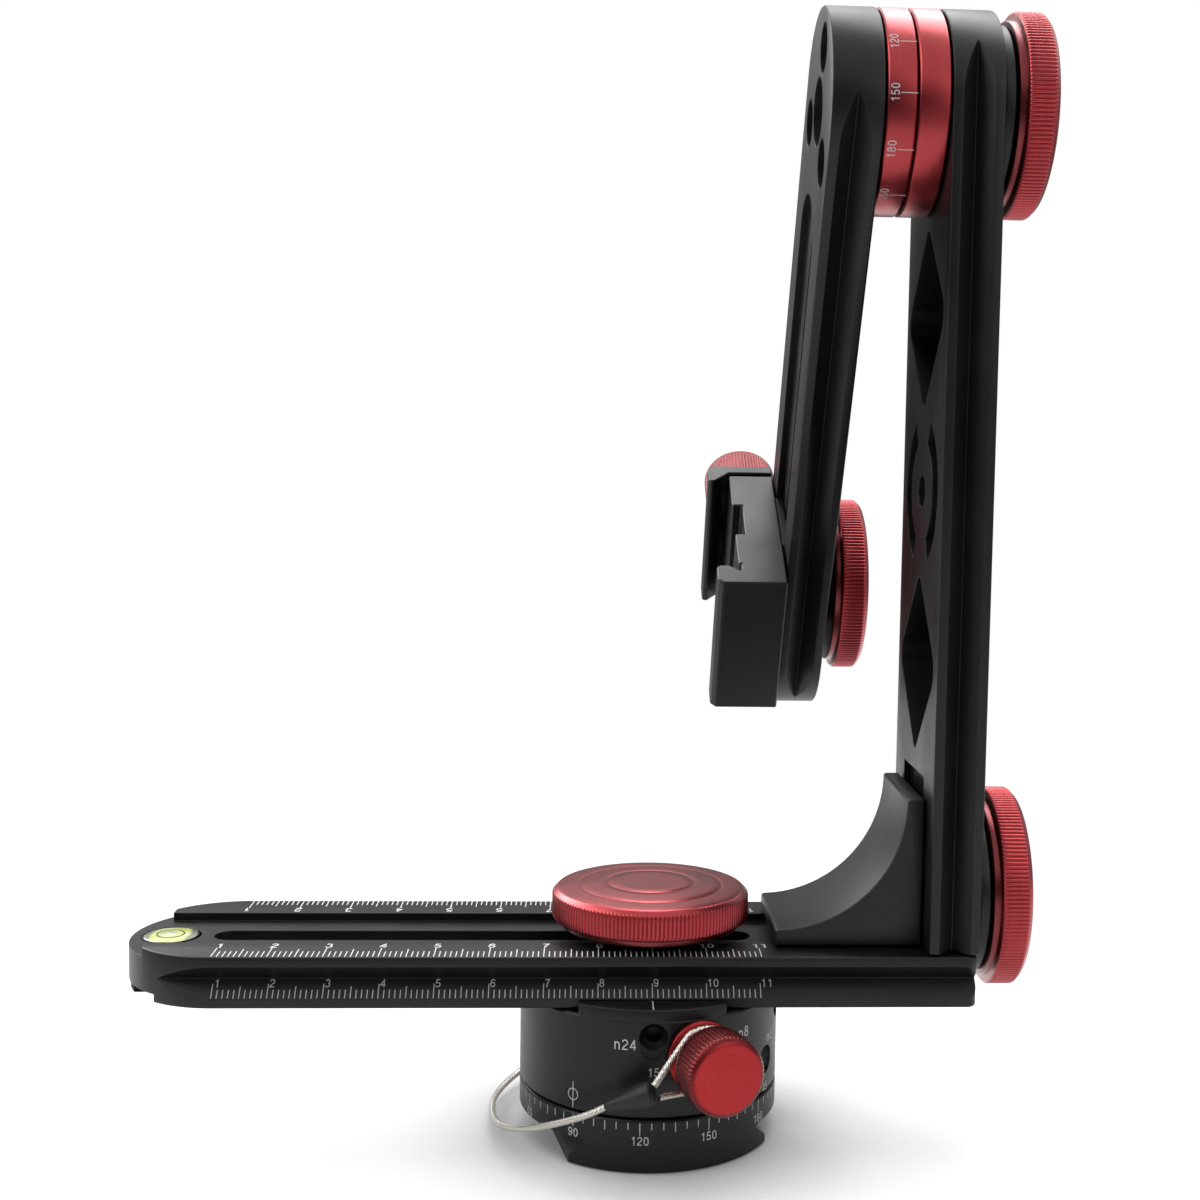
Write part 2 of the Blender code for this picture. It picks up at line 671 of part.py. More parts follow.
def smooth_route(points, spacing):
    """Points at even steps along a smooth curve through the given points."""
    points = [Vector(point) for point in points]
    fine = []
    for index in range(len(points) - 1):
        before = points[max(index - 1, 0)]
        first, second = points[index], points[index + 1]
        after = points[min(index + 2, len(points) - 1)]
        for step in range(END_STEPS):
            share = step / END_STEPS
            fine.append(catmull_rom(before, first, second, after, share))
    fine.append(points[-1])
    lengths = [0]
    for first, second in zip(fine, fine[1:]):
        lengths.append(lengths[-1] + (second - first).length)
    count = max(2, round(lengths[-1] / spacing))
    route = []
    for index in range(count + 1):
        wanted = lengths[-1] * index / count
        upper = next(i for i, length in enumerate(lengths) if length >= wanted - MERGE)
        lower = max(upper - 1, 0)
        run = lengths[upper] - lengths[lower]
        share = (wanted - lengths[lower]) / run if run else 0
        route.append(fine[lower].lerp(fine[upper], share))
    return route, lengths[-1]


def catmull_rom(before, first, second, after, share):
    square, cube = share ** 2, share ** 3
    return (first * 2 + (second - before) * share
            + (before * 2 - first * 5 + second * 4 - after) * square
            + (first * 3 - before - second * 3 + after) * cube) / 2


def tube(name, route, radius, material, parent=None, resolution=2, cyclic=False):
    curve = bpy.data.curves.new(name, "CURVE")
    curve.dimensions = "3D"
    spline = curve.splines.new("POLY")
    spline.points.add(len(route) - 1)
    for point, spot in zip(spline.points, route):
        point.co = (*spot, 1)
    spline.use_cyclic_u = cyclic
    curve.bevel_depth = radius
    curve.bevel_resolution = resolution
    curve.use_fill_caps = True
    curve.materials.append(material)
    thing = bpy.data.objects.new(name, curve)
    bpy.context.scene.collection.objects.link(thing)
    thing.parent = parent
    return thing


def build_lanyard(look, turntable):
    route, length = smooth_route(WIRE_POINTS, WIRE_SPACING)
    print(f"lanyard wire {length:.4f} m")
    tube("lanyard_wire", route, WIRE_RADIUS, look["wire"], turntable)
    build_sleeve(look, turntable)
    build_loop(look, turntable)
    location, rotation = radial(FULL_TURN / 2, LANYARD_SCREW_HEIGHT)
    seat = DRUM_RADIUS + GAP
    profile = [
        (0, DRUM_RADIUS - LANYARD_SCREW_LENGTH + GAP),
        (LANYARD_SCREW_SHANK, DRUM_RADIUS - LANYARD_SCREW_LENGTH + GAP),
        (LANYARD_SCREW_SHANK, seat),
        (LANYARD_SCREW_RADIUS, seat),
        (LANYARD_SCREW_RADIUS, seat + LANYARD_SCREW_HEAD - EDGE),
        (LANYARD_SCREW_RADIUS - EDGE, seat + LANYARD_SCREW_HEAD),
        (0, seat + LANYARD_SCREW_HEAD),
    ]
    mesh = turned("lanyard_screw", profile, SCREW_SIDES)
    place("lanyard_screw", mesh, look["steel"], turntable, location, rotation)


def build_sleeve(look, turntable):
    axis = SLEEVE_END - SLEEVE_START
    length = axis.length
    profile = [
        (0, 0),
        (SLEEVE_TIP_RADIUS, 0),
        (SLEEVE_RADIUS, length * SLEEVE_SHOULDER_SHARE),
        (SLEEVE_RADIUS, length - EDGE),
        (SLEEVE_RADIUS - EDGE, length),
        (0, length),
    ]
    mesh = turned("lanyard_sleeve", profile, SCREW_SIDES)
    sleeve = place("lanyard_sleeve", mesh, look["rubber"], turntable, SLEEVE_START)
    sleeve.rotation_euler = axis.to_track_quat("Z", "Y").to_euler()


def build_loop(look, turntable):
    """The wire's noose round the knob's neck, open at the sleeve."""
    out = Vector((math.sin(KNOB_TURN), -math.cos(KNOB_TURN), 0))
    across = Vector((math.cos(KNOB_TURN), math.sin(KNOB_TURN), 0))
    up = Vector((0, 0, 1))
    middle = out * (DRUM_RADIUS + KNOB_STANDOFF + KNOB_FLANGE + KNOB_NECK / 2) + up * KNOB_HEIGHT
    axis = (SLEEVE_END - SLEEVE_START).normalized()
    mouth = SLEEVE_END + axis * WIRE_RADIUS
    side = axis.cross(out).normalized() * SLEEVE_RADIUS * LOOP_SIDE_SHARE
    if side.z < 0:
        side = -side
    ring = []
    for step in range(LOOP_STEPS + 1):
        turn = LOOP_START + LOOP_SWEEP * step / LOOP_STEPS
        ring.append(middle + (across * math.cos(turn) + up * math.sin(turn)) * LOOP_RADIUS)
    points = [mouth - side, *ring, mouth + side]
    route, length = smooth_route(points, WIRE_RADIUS * LOOP_SPACING_SHARE)
    print(f"lanyard loop {length:.4f} m")
    tube("lanyard_loop", route, WIRE_RADIUS, look["wire"], turntable)


# Rails

def v_groove(target, name, edge, mid, low, high, plane):
    """A V cut along one long edge of a rail, at half its thickness."""
    heading = math.copysign(1, edge)
    reach = GROOVE_DEPTH + OVERRUN
    outline = [
        (edge - heading * GROOVE_DEPTH, mid),
        (edge + heading * OVERRUN, mid + reach),
        (edge + heading * OVERRUN, mid - reach),
    ]
    if plane == "XY":
        outline = [(b, a) for a, b in outline]
    cut(target, prism(name, outline, low, high, plane))


def build_rail(look, slide):
    half = RAIL_WIDTH / 2
    mid = (RAIL_BOTTOM + RAIL_TOP) / 2
    left = RAIL_END_CENTRE - half
    quarter = FULL_TURN / 4
    outline = arc((RAIL_END_CENTRE, 0), half, quarter, 3 * quarter, 2 * END_STEPS)
    outline += [(RAIL_RIGHT_END, -half), (RAIL_RIGHT_END, half)]
    rail = place("rail", prism("rail", outline, RAIL_BOTTOM, RAIL_TOP), look["black"], slide)
    bevelled(rail, EDGE)
    for name, edge in (("rail_groove_front", -half), ("rail_groove_back", half)):
        v_groove(rail, name, edge, mid, left - OVERRUN, RAIL_RIGHT_END + OVERRUN, "YZ")
    channel = CHANNEL_WIDTH / 2
    right = RAIL_RIGHT_END + OVERRUN
    floor = RAIL_TOP - CHANNEL_DEPTH
    roof = RAIL_BOTTOM + CHANNEL_DEPTH
    start, wide = left - OVERRUN, half + OVERRUN
    below, above = RAIL_BOTTOM - OVERRUN, RAIL_TOP + OVERRUN
    cut(rail, block("rail_channel_top", (start, -channel, floor), (right, channel, above)))
    cut(rail, block("rail_channel_bottom", (start, -channel, below), (right, channel, roof)))
    cut(rail, block("rail_end_top", (start, -wide, floor), (TOP_RIM_START, wide, above)))
    cut(rail, block("rail_end_bottom", (start, -wide, below), (BOTTOM_RIM_START, wide, roof)))
    slot = stadium((RAIL_SLOT_LEFT, 0), (RAIL_SLOT_RIGHT, 0), SLOT_WIDTH / 2, END_STEPS // 2)
    cut(rail, prism("rail_slot", slot, below, above))
    bore(rail, "level_pocket", LEVEL_RADIUS + GAP, floor - LEVEL_DEPTH - GAP, above,
         SMALL_SIDES, (LEVEL_X, 0, 0))
    for number, x in enumerate(BRACKET_SCREW_XS):
        seat = RAIL_BOTTOM + BRACKET_SCREW_DEPTH
        bore(rail, f"screw_hole_{number}", BRACKET_SCREW_RADIUS + GAP, below, above,
             SCREW_SIDES, (x, 0, 0))
        bore(rail, f"screw_recess_{number}", BRACKET_SCREW_HEAD_RADIUS + GAP, below, seat,
             SMALL_SIDES, (x, 0, 0))
    return rail


def build_level_and_stop(look, slide):
    floor = RAIL_TOP - CHANNEL_DEPTH
    low = floor - LEVEL_DEPTH
    top = floor + LEVEL_RISE
    cup = low + LEVEL_FLOOR
    housing = [
        (0, low),
        (LEVEL_RADIUS, low),
        (LEVEL_RADIUS, top - EDGE / 2),
        (LEVEL_RADIUS - EDGE / 2, top),
        (LEVEL_VIAL_RADIUS + GAP, top),
        (LEVEL_VIAL_RADIUS + GAP, cup),
        (0, cup),
    ]
    mesh = turned("level_housing", housing, SMALL_SIDES)
    place("level_housing", mesh, look["steel"], slide, (LEVEL_X, 0, 0))
    vial = [
        (0, cup + GAP),
        (LEVEL_VIAL_RADIUS, cup + GAP),
        (LEVEL_VIAL_RADIUS, top - EDGE),
        (LEVEL_VIAL_RADIUS * VIAL_DOME_SHARE, top),
        (0, top + EDGE / 2),
    ]
    place("level_vial", turned("level_vial", vial, SMALL_SIDES), look["fluid"], slide, (LEVEL_X, 0, 0))
    roof = RAIL_BOTTOM + CHANNEL_DEPTH - GAP
    radius = RAIL_WIDTH / 2 - GAP
    spread = math.asin(STOP_HALF_WIDTH / radius)
    middle = FULL_TURN / 2
    outline = arc((RAIL_END_CENTRE, 0), radius, middle - spread, middle + spread, END_STEPS // 2)
    outline += [(STOP_RIGHT, -STOP_HALF_WIDTH), (STOP_RIGHT, STOP_HALF_WIDTH)]
    place("end_stop", prism("end_stop", outline, roof - STOP_THICKNESS, roof), look["black"], slide)


def build_bracket(look, slide):
    """The gusset in the corner, with keys in the rail's and the upright's channels."""
    bottom = RAIL_TOP + GAP
    right = UPRIGHT_LEFT - GAP
    top = bottom + BRACKET_HEIGHT
    toe = (BRACKET_LEFT, bottom + BRACKET_TOE)
    heel = (right - BRACKET_TOP_WIDTH, top)
    outline = [(BRACKET_LEFT, bottom), (right, bottom), (right, top), heel]
    outline += concave_arc(heel, toe, BRACKET_ARC_STEPS)
    mesh = prism("corner_bracket", outline, -BRACKET_HALF_WIDTH, BRACKET_HALF_WIDTH, "XZ")
    bracket = place("corner_bracket", mesh, look["black"], slide)
    bevelled(bracket, BRACKET_BEVEL)
    key = CHANNEL_WIDTH / 2 - KEY_CLEARANCE
    depth = CHANNEL_DEPTH - KEY_CLEARANCE
    cut(bracket, block("bracket_foot_key", (BRACKET_LEFT + BRACKET_BEVEL, -key, bottom - GAP - depth),
                       (right - BRACKET_BEVEL, key, bottom + BRACKET_TOE / 2)), operation="UNION")
    cut(bracket, block("bracket_back_key", (right - BRACKET_TOP_WIDTH / 2, -key, bottom + BRACKET_BEVEL),
                       (right + GAP + depth, key, top - BRACKET_TOE)), operation="UNION")
    for number, x in enumerate(BRACKET_SCREW_XS):
        reach = RAIL_BOTTOM + BRACKET_SCREW_DEPTH + BRACKET_SCREW_REACH + bracket_thread(x) + GAP
        bore(bracket, f"bracket_thread_{number}", BRACKET_SCREW_RADIUS + GAP, RAIL_BOTTOM, reach,
             SCREW_SIDES, (x, 0, 0))
    bore(bracket, "stud_hole", STUD_RADIUS + GAP, right - LOWER_STUD_DEPTH - GAP,
         right + OVERRUN + CHANNEL_DEPTH, SMALL_SIDES, (0, 0, RAIL_TOP + LOWER_KNOB_HEIGHT), ALONG_X)
    return bracket


def concave_arc(start, end, steps):
    """A quarter-like arc from the bracket's top edge down to its toe, bulging into the corner."""
    run = start[0] - end[0]
    rise = start[1] - end[1]
    radius = max((run ** 2 + rise ** 2) / (2 * rise), run)
    chord = math.hypot(run, rise)
    sag = math.sqrt(radius ** 2 - chord ** 2 / 4)
    middle = ((start[0] + end[0]) / 2, (start[1] + end[1]) / 2)
    normal = (-rise / chord, run / chord)
    centre = (middle[0] + normal[0] * sag, middle[1] + normal[1] * sag)
    first = math.atan2(start[1] - centre[1], start[0] - centre[0])
    last = math.atan2(end[1] - centre[1], end[0] - centre[0])
    return arc(centre, radius, first, last, steps)[1:]


def bracket_thread(x):
    """How far a screw goes into the bracket, deeper where the bracket is taller."""
    share = (x - BRACKET_LEFT) / (UPRIGHT_LEFT - BRACKET_LEFT)
    return BRACKET_TOE * share


def build_bracket_screws(look, slide):
    seat = RAIL_BOTTOM + BRACKET_SCREW_DEPTH - GAP
    for name, x in zip(("bracket_screw_left", "bracket_screw_right"), BRACKET_SCREW_XS):
        reach = BRACKET_SCREW_REACH + bracket_thread(x)
        cap_screw(name, BRACKET_SCREW_HEAD_RADIUS, BRACKET_SCREW_HEAD, BRACKET_SCREW_RADIUS, reach + GAP,
                  look["steel"], slide, (x, 0, seat), DOWN)


# Upright

def rounded_diamond(centre, half_length, half_width):
    """A diamond whose four corners are arcs, long way upright."""
    heading = math.atan2(half_length, half_width)
    outline = []
    side, tip = FULL_TURN / 4 - heading, heading
    tips = (
        (0, side, DIAMOND_SIDE_RADIUS, half_width),
        (FULL_TURN / 4, tip, DIAMOND_TIP_RADIUS, half_length),
        (FULL_TURN / 2, side, DIAMOND_SIDE_RADIUS, half_width),
        (3 * FULL_TURN / 4, tip, DIAMOND_TIP_RADIUS, half_length),
    )
    for direction, half_angle, radius, reach in tips:
        inset = reach - radius / math.cos(half_angle)
        middle = (centre[0] + inset * math.cos(direction), centre[1] + inset * math.sin(direction))
        outline += arc(middle, radius, direction - half_angle, direction + half_angle, DIAMOND_ARC_STEPS)
    return outline


def curved_slot(centre, inner, outer, middle, spread):
    first, last = middle - spread / 2, middle + spread / 2
    far = arc(centre, outer, first, last, MOTIF_STEPS)
    near = arc(centre, inner, last, first, MOTIF_STEPS)
    return far + near


def build_upright(look, slide):
    half = RAIL_WIDTH / 2
    bottom = RAIL_TOP + GAP
    outline = [(-half, bottom), (half, bottom)]
    outline += arc((0, TILT_Z), half, 0, FULL_TURN / 2, 2 * END_STEPS)
    mesh = prism("upright", outline, UPRIGHT_LEFT, UPRIGHT_RIGHT, "YZ")
    upright = place("upright", mesh, look["black"], slide)
    bevelled(upright, EDGE)
    mid = (UPRIGHT_LEFT + UPRIGHT_RIGHT) / 2
    for name, edge in (("upright_groove_front", -half), ("upright_groove_back", half)):
        v_groove(upright, name, edge, mid, bottom - OVERRUN, TILT_Z + half + OVERRUN, "XY")
    front, floor = UPRIGHT_LEFT - OVERRUN, UPRIGHT_LEFT + POCKET_DEPTH
    for number, height in enumerate(DIAMOND_HEIGHTS):
        diamond = rounded_diamond((0, RAIL_TOP + height), DIAMOND_HALF_LENGTH, DIAMOND_HALF_WIDTH)
        cut(upright, prism(f"diamond_{number}", diamond, front, floor, "YZ"))
    centre = (0, RAIL_TOP + MOTIF_HEIGHT)
    for name, middle in (("motif_back", 0), ("motif_front", FULL_TURN / 2)):
        slot = curved_slot(centre, MOTIF_INNER_RADIUS, MOTIF_OUTER_RADIUS, middle, MOTIF_ARC)
        cut(upright, prism(name, slot, front, floor, "YZ"))
    right = UPRIGHT_RIGHT + OVERRUN
    bore(upright, "motif_hole", MOTIF_HOLE_RADIUS, front, right, SMALL_SIDES, (0, 0, centre[1]), ALONG_X)
    bore(upright, "tilt_hole", TILT_SPINDLE_RADIUS + GAP, front, right, SMALL_SIDES,
         (0, 0, TILT_Z), ALONG_X)
    bore(upright, "lower_hole", STUD_RADIUS + GAP, front, right, SMALL_SIDES,
         (0, 0, RAIL_TOP + LOWER_KNOB_HEIGHT), ALONG_X)
    channel = CHANNEL_WIDTH / 2
    cut(upright, block("upright_channel", (front, -channel, bottom - OVERRUN),
                       (UPRIGHT_LEFT + CHANNEL_DEPTH, channel, RAIL_TOP + UPRIGHT_CHANNEL_TOP)))
    for number, turn in enumerate(HUB_SCREW_TURNS):
        y, z = HUB_SCREW_CIRCLE * math.sin(turn), TILT_Z + HUB_SCREW_CIRCLE * math.cos(turn)
        bore(upright, f"hub_screw_hole_{number}", HUB_SCREW_RADIUS + GAP, front, right,
             SCREW_SIDES, (0, y, z), ALONG_X)
        bore(upright, f"hub_screw_recess_{number}", HUB_SCREW_HEAD_RADIUS + GAP,
             UPRIGHT_RIGHT - HUB_SCREW_HEAD - GAP, right, SCREW_SIDES, (0, y, z), ALONG_X)
    return upright


# Knobs, collars and studs

def grip_profile():
    rim_low = GRIP_FLANGE
    rim_high = rim_low + GRIP_RIM
    shoulder = rim_high + GRIP_CROWN_STEP
    crown = rim_high + GRIP_CROWN
    bore_radius = STUD_RADIUS + GAP
    return [
        (bore_radius, 0),
        (GRIP_FLANGE_RADIUS, 0),
        (GRIP_FLANGE_RADIUS, rim_low),
        (GRIP_RADIUS - EDGE, rim_low),
        (GRIP_RADIUS, rim_low + EDGE),
        (GRIP_RADIUS, rim_high),
        (GRIP_SHOULDER_RADIUS, shoulder),
        (GRIP_INLAY_RADIUS, crown),
        (0, crown),
        (0, GRIP_BORE_DEPTH),
        (bore_radius, GRIP_BORE_DEPTH),
    ]


def build_grip(name, look, parent, location, rotation=(0, 0, 0)):
    return place(name, turned(name, grip_profile(), KNOB_SIDES), look["red"], parent, location, rotation)


def build_collar(name, material, parent, radius, hole, thickness, location, rotation=(0, 0, 0)):
    profile = [
        (hole, 0),
        (radius - EDGE, 0),
        (radius, EDGE),
        (radius, thickness - EDGE),
        (radius - EDGE, thickness),
        (hole, thickness),
    ]
    return place(name, turned(name, profile, SMALL_SIDES), material, parent, location, rotation)


def build_rail_lock(look, turntable, knob_axis):
    flange_low = BODY_TOP - GAP - STUD_FLANGE_HEIGHT
    collar_low = RAIL_TOP - CHANNEL_DEPTH + GAP
    grip_low = collar_low + RAIL_COLLAR_THICKNESS + GAP
    stud = [
        (0, flange_low),
        (STUD_FLANGE_RADIUS, flange_low),
        (STUD_FLANGE_RADIUS, BODY_TOP - GAP),
        (STUD_RADIUS, BODY_TOP - GAP),
        (STUD_RADIUS, grip_low + STUD_REACH),
        (0, grip_low + STUD_REACH),
    ]
    place("rail_stud", turned("rail_stud", stud, SMALL_SIDES), look["steel"], turntable)
    build_collar("rail_collar", look["black"], turntable, SLOT_COLLAR_RADIUS, STUD_RADIUS + GAP,
                 RAIL_COLLAR_THICKNESS, (0, 0, collar_low))
    build_grip("rail_knob", look, knob_axis, (0, 0, grip_low))


def build_lower_lock(look, slide, knob_axis):
    """The knob at the foot of the upright: local Z runs along world X."""
    collar_low = UPRIGHT_RIGHT + GAP
    grip_low = collar_low + COLLAR_THICKNESS + GAP
    height = RAIL_TOP + LOWER_KNOB_HEIGHT
    low = UPRIGHT_LEFT - LOWER_STUD_DEPTH
    end = grip_low + STUD_REACH
    stud = turned("lower_stud", [(0, low), (STUD_RADIUS, low), (STUD_RADIUS, end), (0, end)], SMALL_SIDES)
    place("lower_stud", stud, look["steel"], slide, (0, 0, height), ALONG_X)
    build_collar("lower_collar", look["black"], slide, COLLAR_RADIUS, STUD_RADIUS + GAP, COLLAR_THICKNESS,
                 (collar_low, 0, height), ALONG_X)
    build_grip("lower_knob", look, knob_axis, (grip_low, 0, 0), ALONG_X)


# Tilt drum

def ring_profile(low, high, hole):
    return [
        (hole, low),
        (TILT_RING_RADIUS - EDGE, low),
        (TILT_RING_RADIUS, low + EDGE),
        (TILT_RING_RADIUS, high - EDGE),
        (TILT_RING_RADIUS - EDGE, high),
        (hole, high),
    ]


def build_tilt_rings(look, slide, tilt):
    """The graduated ring turns with the arm, and the plain one stays with the upright."""
    hole = TILT_SPINDLE_RADIUS + GAP
    low, split, high = ARM_RIGHT + GAP, TILT_SPLIT, UPRIGHT_LEFT - GAP
    mesh = turned("dial_ring", ring_profile(low, split - GAP / 2, hole), DRUM_SIDES)
    dial = place("dial_ring", mesh, look["red"], tilt, (0, 0, 0), ALONG_X)
    floor = split + GAP / 2 + TILT_BEARING_THICKNESS - GAP
    outer = TILT_BEARING_OUTER + GAP
    recess = [(outer, split + GAP / 2), (outer, floor), (hole, floor)]
    profile = ring_profile(split + GAP / 2, high, hole)[1:] + recess[::-1]
    mesh = turned("hub_ring", profile, DRUM_SIDES)
    hub = place("hub_ring", mesh, look["red"], slide, (0, 0, TILT_Z), ALONG_X)
    bearing = [
        (TILT_BEARING_INNER, split + GAP / 2),
        (TILT_BEARING_OUTER, split + GAP / 2),
        (TILT_BEARING_OUTER, floor - GAP),
        (TILT_BEARING_INNER, floor - GAP),
    ]
    mesh = turned("tilt_bearing", bearing, SMALL_KNOB_SIDES)
    place("tilt_bearing", mesh, look["polymer"], slide, (0, 0, TILT_Z), ALONG_X)
    for number, turn in enumerate(ARM_SCREW_TURNS):
        x, y = ARM_SCREW_CIRCLE * math.cos(turn), ARM_SCREW_CIRCLE * math.sin(turn)
        bore(dial, f"dial_thread_{number}", ARM_SCREW_RADIUS + GAP, low - OVERRUN,
             low + ARM_SCREW_REACH + GAP, SCREW_SIDES, (x, y, 0))
    for number, turn in enumerate(HUB_SCREW_TURNS):
        x, y = -HUB_SCREW_CIRCLE * math.cos(turn), HUB_SCREW_CIRCLE * math.sin(turn)
        bore(hub, f"hub_thread_{number}", HUB_SCREW_RADIUS + GAP, high - HUB_SCREW_REACH - GAP,
             high + OVERRUN, SCREW_SIDES, (x, y, 0))
        build_hub_screw(look, slide, number, turn)


def build_hub_screw(look, slide, number, turn):
    names = ("hub_screw_top", "hub_screw_back", "hub_screw_front")
    y, z = HUB_SCREW_CIRCLE * math.sin(turn), TILT_Z + HUB_SCREW_CIRCLE * math.cos(turn)
    seat = UPRIGHT_RIGHT - HUB_SCREW_HEAD
    reach = seat - (UPRIGHT_LEFT - GAP - HUB_SCREW_REACH)
    cap_screw(names[number], HUB_SCREW_HEAD_RADIUS, HUB_SCREW_HEAD - GAP, HUB_SCREW_RADIUS, reach,
              look["steel"], slide, (seat, y, z), ALONG_X)


def build_tilt_lock(look, slide, tilt, knob_axis):
    collar_low = UPRIGHT_RIGHT + GAP
    grip_low = collar_low + COLLAR_THICKNESS + GAP
    seat = ARM_LEFT + ARM_BORE_DEPTH - GAP
    end = grip_low + STUD_REACH
    neck = grip_low - GAP
    profile = [
        (0, seat - TILT_SPINDLE_HEAD),
        (TILT_SPINDLE_HEAD_RADIUS, seat - TILT_SPINDLE_HEAD),
        (TILT_SPINDLE_HEAD_RADIUS, seat),
        (TILT_SPINDLE_RADIUS, seat),
        (TILT_SPINDLE_RADIUS, neck),
        (STUD_RADIUS, neck),
        (STUD_RADIUS, end),
        (0, end),
    ]
    mesh = turned("tilt_spindle", profile, SMALL_SIDES)
    spindle = place("tilt_spindle", mesh, look["steel"], tilt, (0, 0, 0), ALONG_X)
    socket_floor = seat - TILT_SPINDLE_HEAD + TILT_SPINDLE_HEAD * HEX_DEPTH_SHARE
    bore(spindle, "tilt_spindle_socket", TILT_SPINDLE_HEAD_RADIUS * HEX_SHARE,
         seat - TILT_SPINDLE_HEAD - OVERRUN, socket_floor, 6)
    build_collar("tilt_collar", look["black"], slide, COLLAR_RADIUS, TILT_SPINDLE_RADIUS + GAP,
                 COLLAR_THICKNESS, (collar_low, 0, TILT_Z), ALONG_X)
    build_grip("tilt_knob", look, knob_axis, (grip_low, 0, 0), ALONG_X)


# Camera arm, modelled hanging straight down in the tilt frame

def build_camera_arm(look, tilt):
    half = RAIL_WIDTH / 2
    outline = arc((0, 0), half, 0, FULL_TURN / 2, 2 * END_STEPS)
    outline += arc((0, -ARM_LENGTH), half, FULL_TURN / 2, FULL_TURN, 2 * END_STEPS)
    arm = place("camera_arm", prism("camera_arm", outline, ARM_LEFT, ARM_RIGHT, "YZ"), look["black"], tilt)
    bevelled(arm, EDGE)
    mid = (ARM_LEFT + ARM_RIGHT) / 2
    bottom = -ARM_LENGTH - half - OVERRUN
    for name, edge in (("arm_groove_front", -half), ("arm_groove_back", half)):
        v_groove(arm, name, edge, mid, bottom, half + OVERRUN, "XY")
    channel = stadium((0, bottom - half), (0, -ARM_CHANNEL_START), CHANNEL_WIDTH / 2, END_STEPS)
    front, back = ARM_LEFT - OVERRUN, ARM_RIGHT + OVERRUN
    cut(arm, prism("arm_channel_left", channel, front, ARM_LEFT + CHANNEL_DEPTH, "YZ"))
    cut(arm, prism("arm_channel_right", channel, ARM_RIGHT - CHANNEL_DEPTH, back, "YZ"))
    slot = stadium((0, -ARM_SLOT_END), (0, -ARM_SLOT_START), SLOT_WIDTH / 2, END_STEPS // 2)
    cut(arm, prism("arm_slot", slot, front, back, "YZ"))
    bore(arm, "arm_bore", ARM_BORE_RADIUS, front, ARM_LEFT + ARM_BORE_DEPTH, SMALL_SIDES, rotation=ALONG_X)
    bore(arm, "arm_bore_through", TILT_SPINDLE_RADIUS + GAP, front, back, SMALL_SIDES, rotation=ALONG_X)
    for number, turn in enumerate(ARM_SCREW_TURNS):
        y, z = ARM_SCREW_CIRCLE * math.sin(turn), -ARM_SCREW_CIRCLE * math.cos(turn)
        bore(arm, f"arm_screw_hole_{number}", ARM_SCREW_HOLE_RADIUS, front, ARM_LEFT + ARM_BORE_DEPTH,
             SCREW_SIDES, (0, y, z), ALONG_X)
        bore(arm, f"arm_screw_through_{number}", ARM_SCREW_RADIUS + GAP, front, back,
             SCREW_SIDES, (0, y, z), ALONG_X)
        build_arm_screw(look, tilt, number, y, z)
    return arm


def build_arm_screw(look, tilt, number, y, z):
    names = ("arm_screw_top", "arm_screw_back", "arm_screw_front")
    seat = ARM_LEFT + ARM_BORE_DEPTH - GAP
    reach = ARM_RIGHT + GAP + ARM_SCREW_REACH - seat
    cap_screw(names[number], ARM_SCREW_HEAD_RADIUS, ARM_SCREW_HEAD, ARM_SCREW_RADIUS, reach,
              look["steel"], tilt, (seat, y, z), ALONG_MINUS_X)


# Camera clamp: X stands off the arm, Y runs across it and Z up along it, from the clamp's centre

def clamp_levels():
    base = ARM_LEFT - GAP
    return base, base - SEAT_HEIGHT, base - CLAMP_HEIGHT


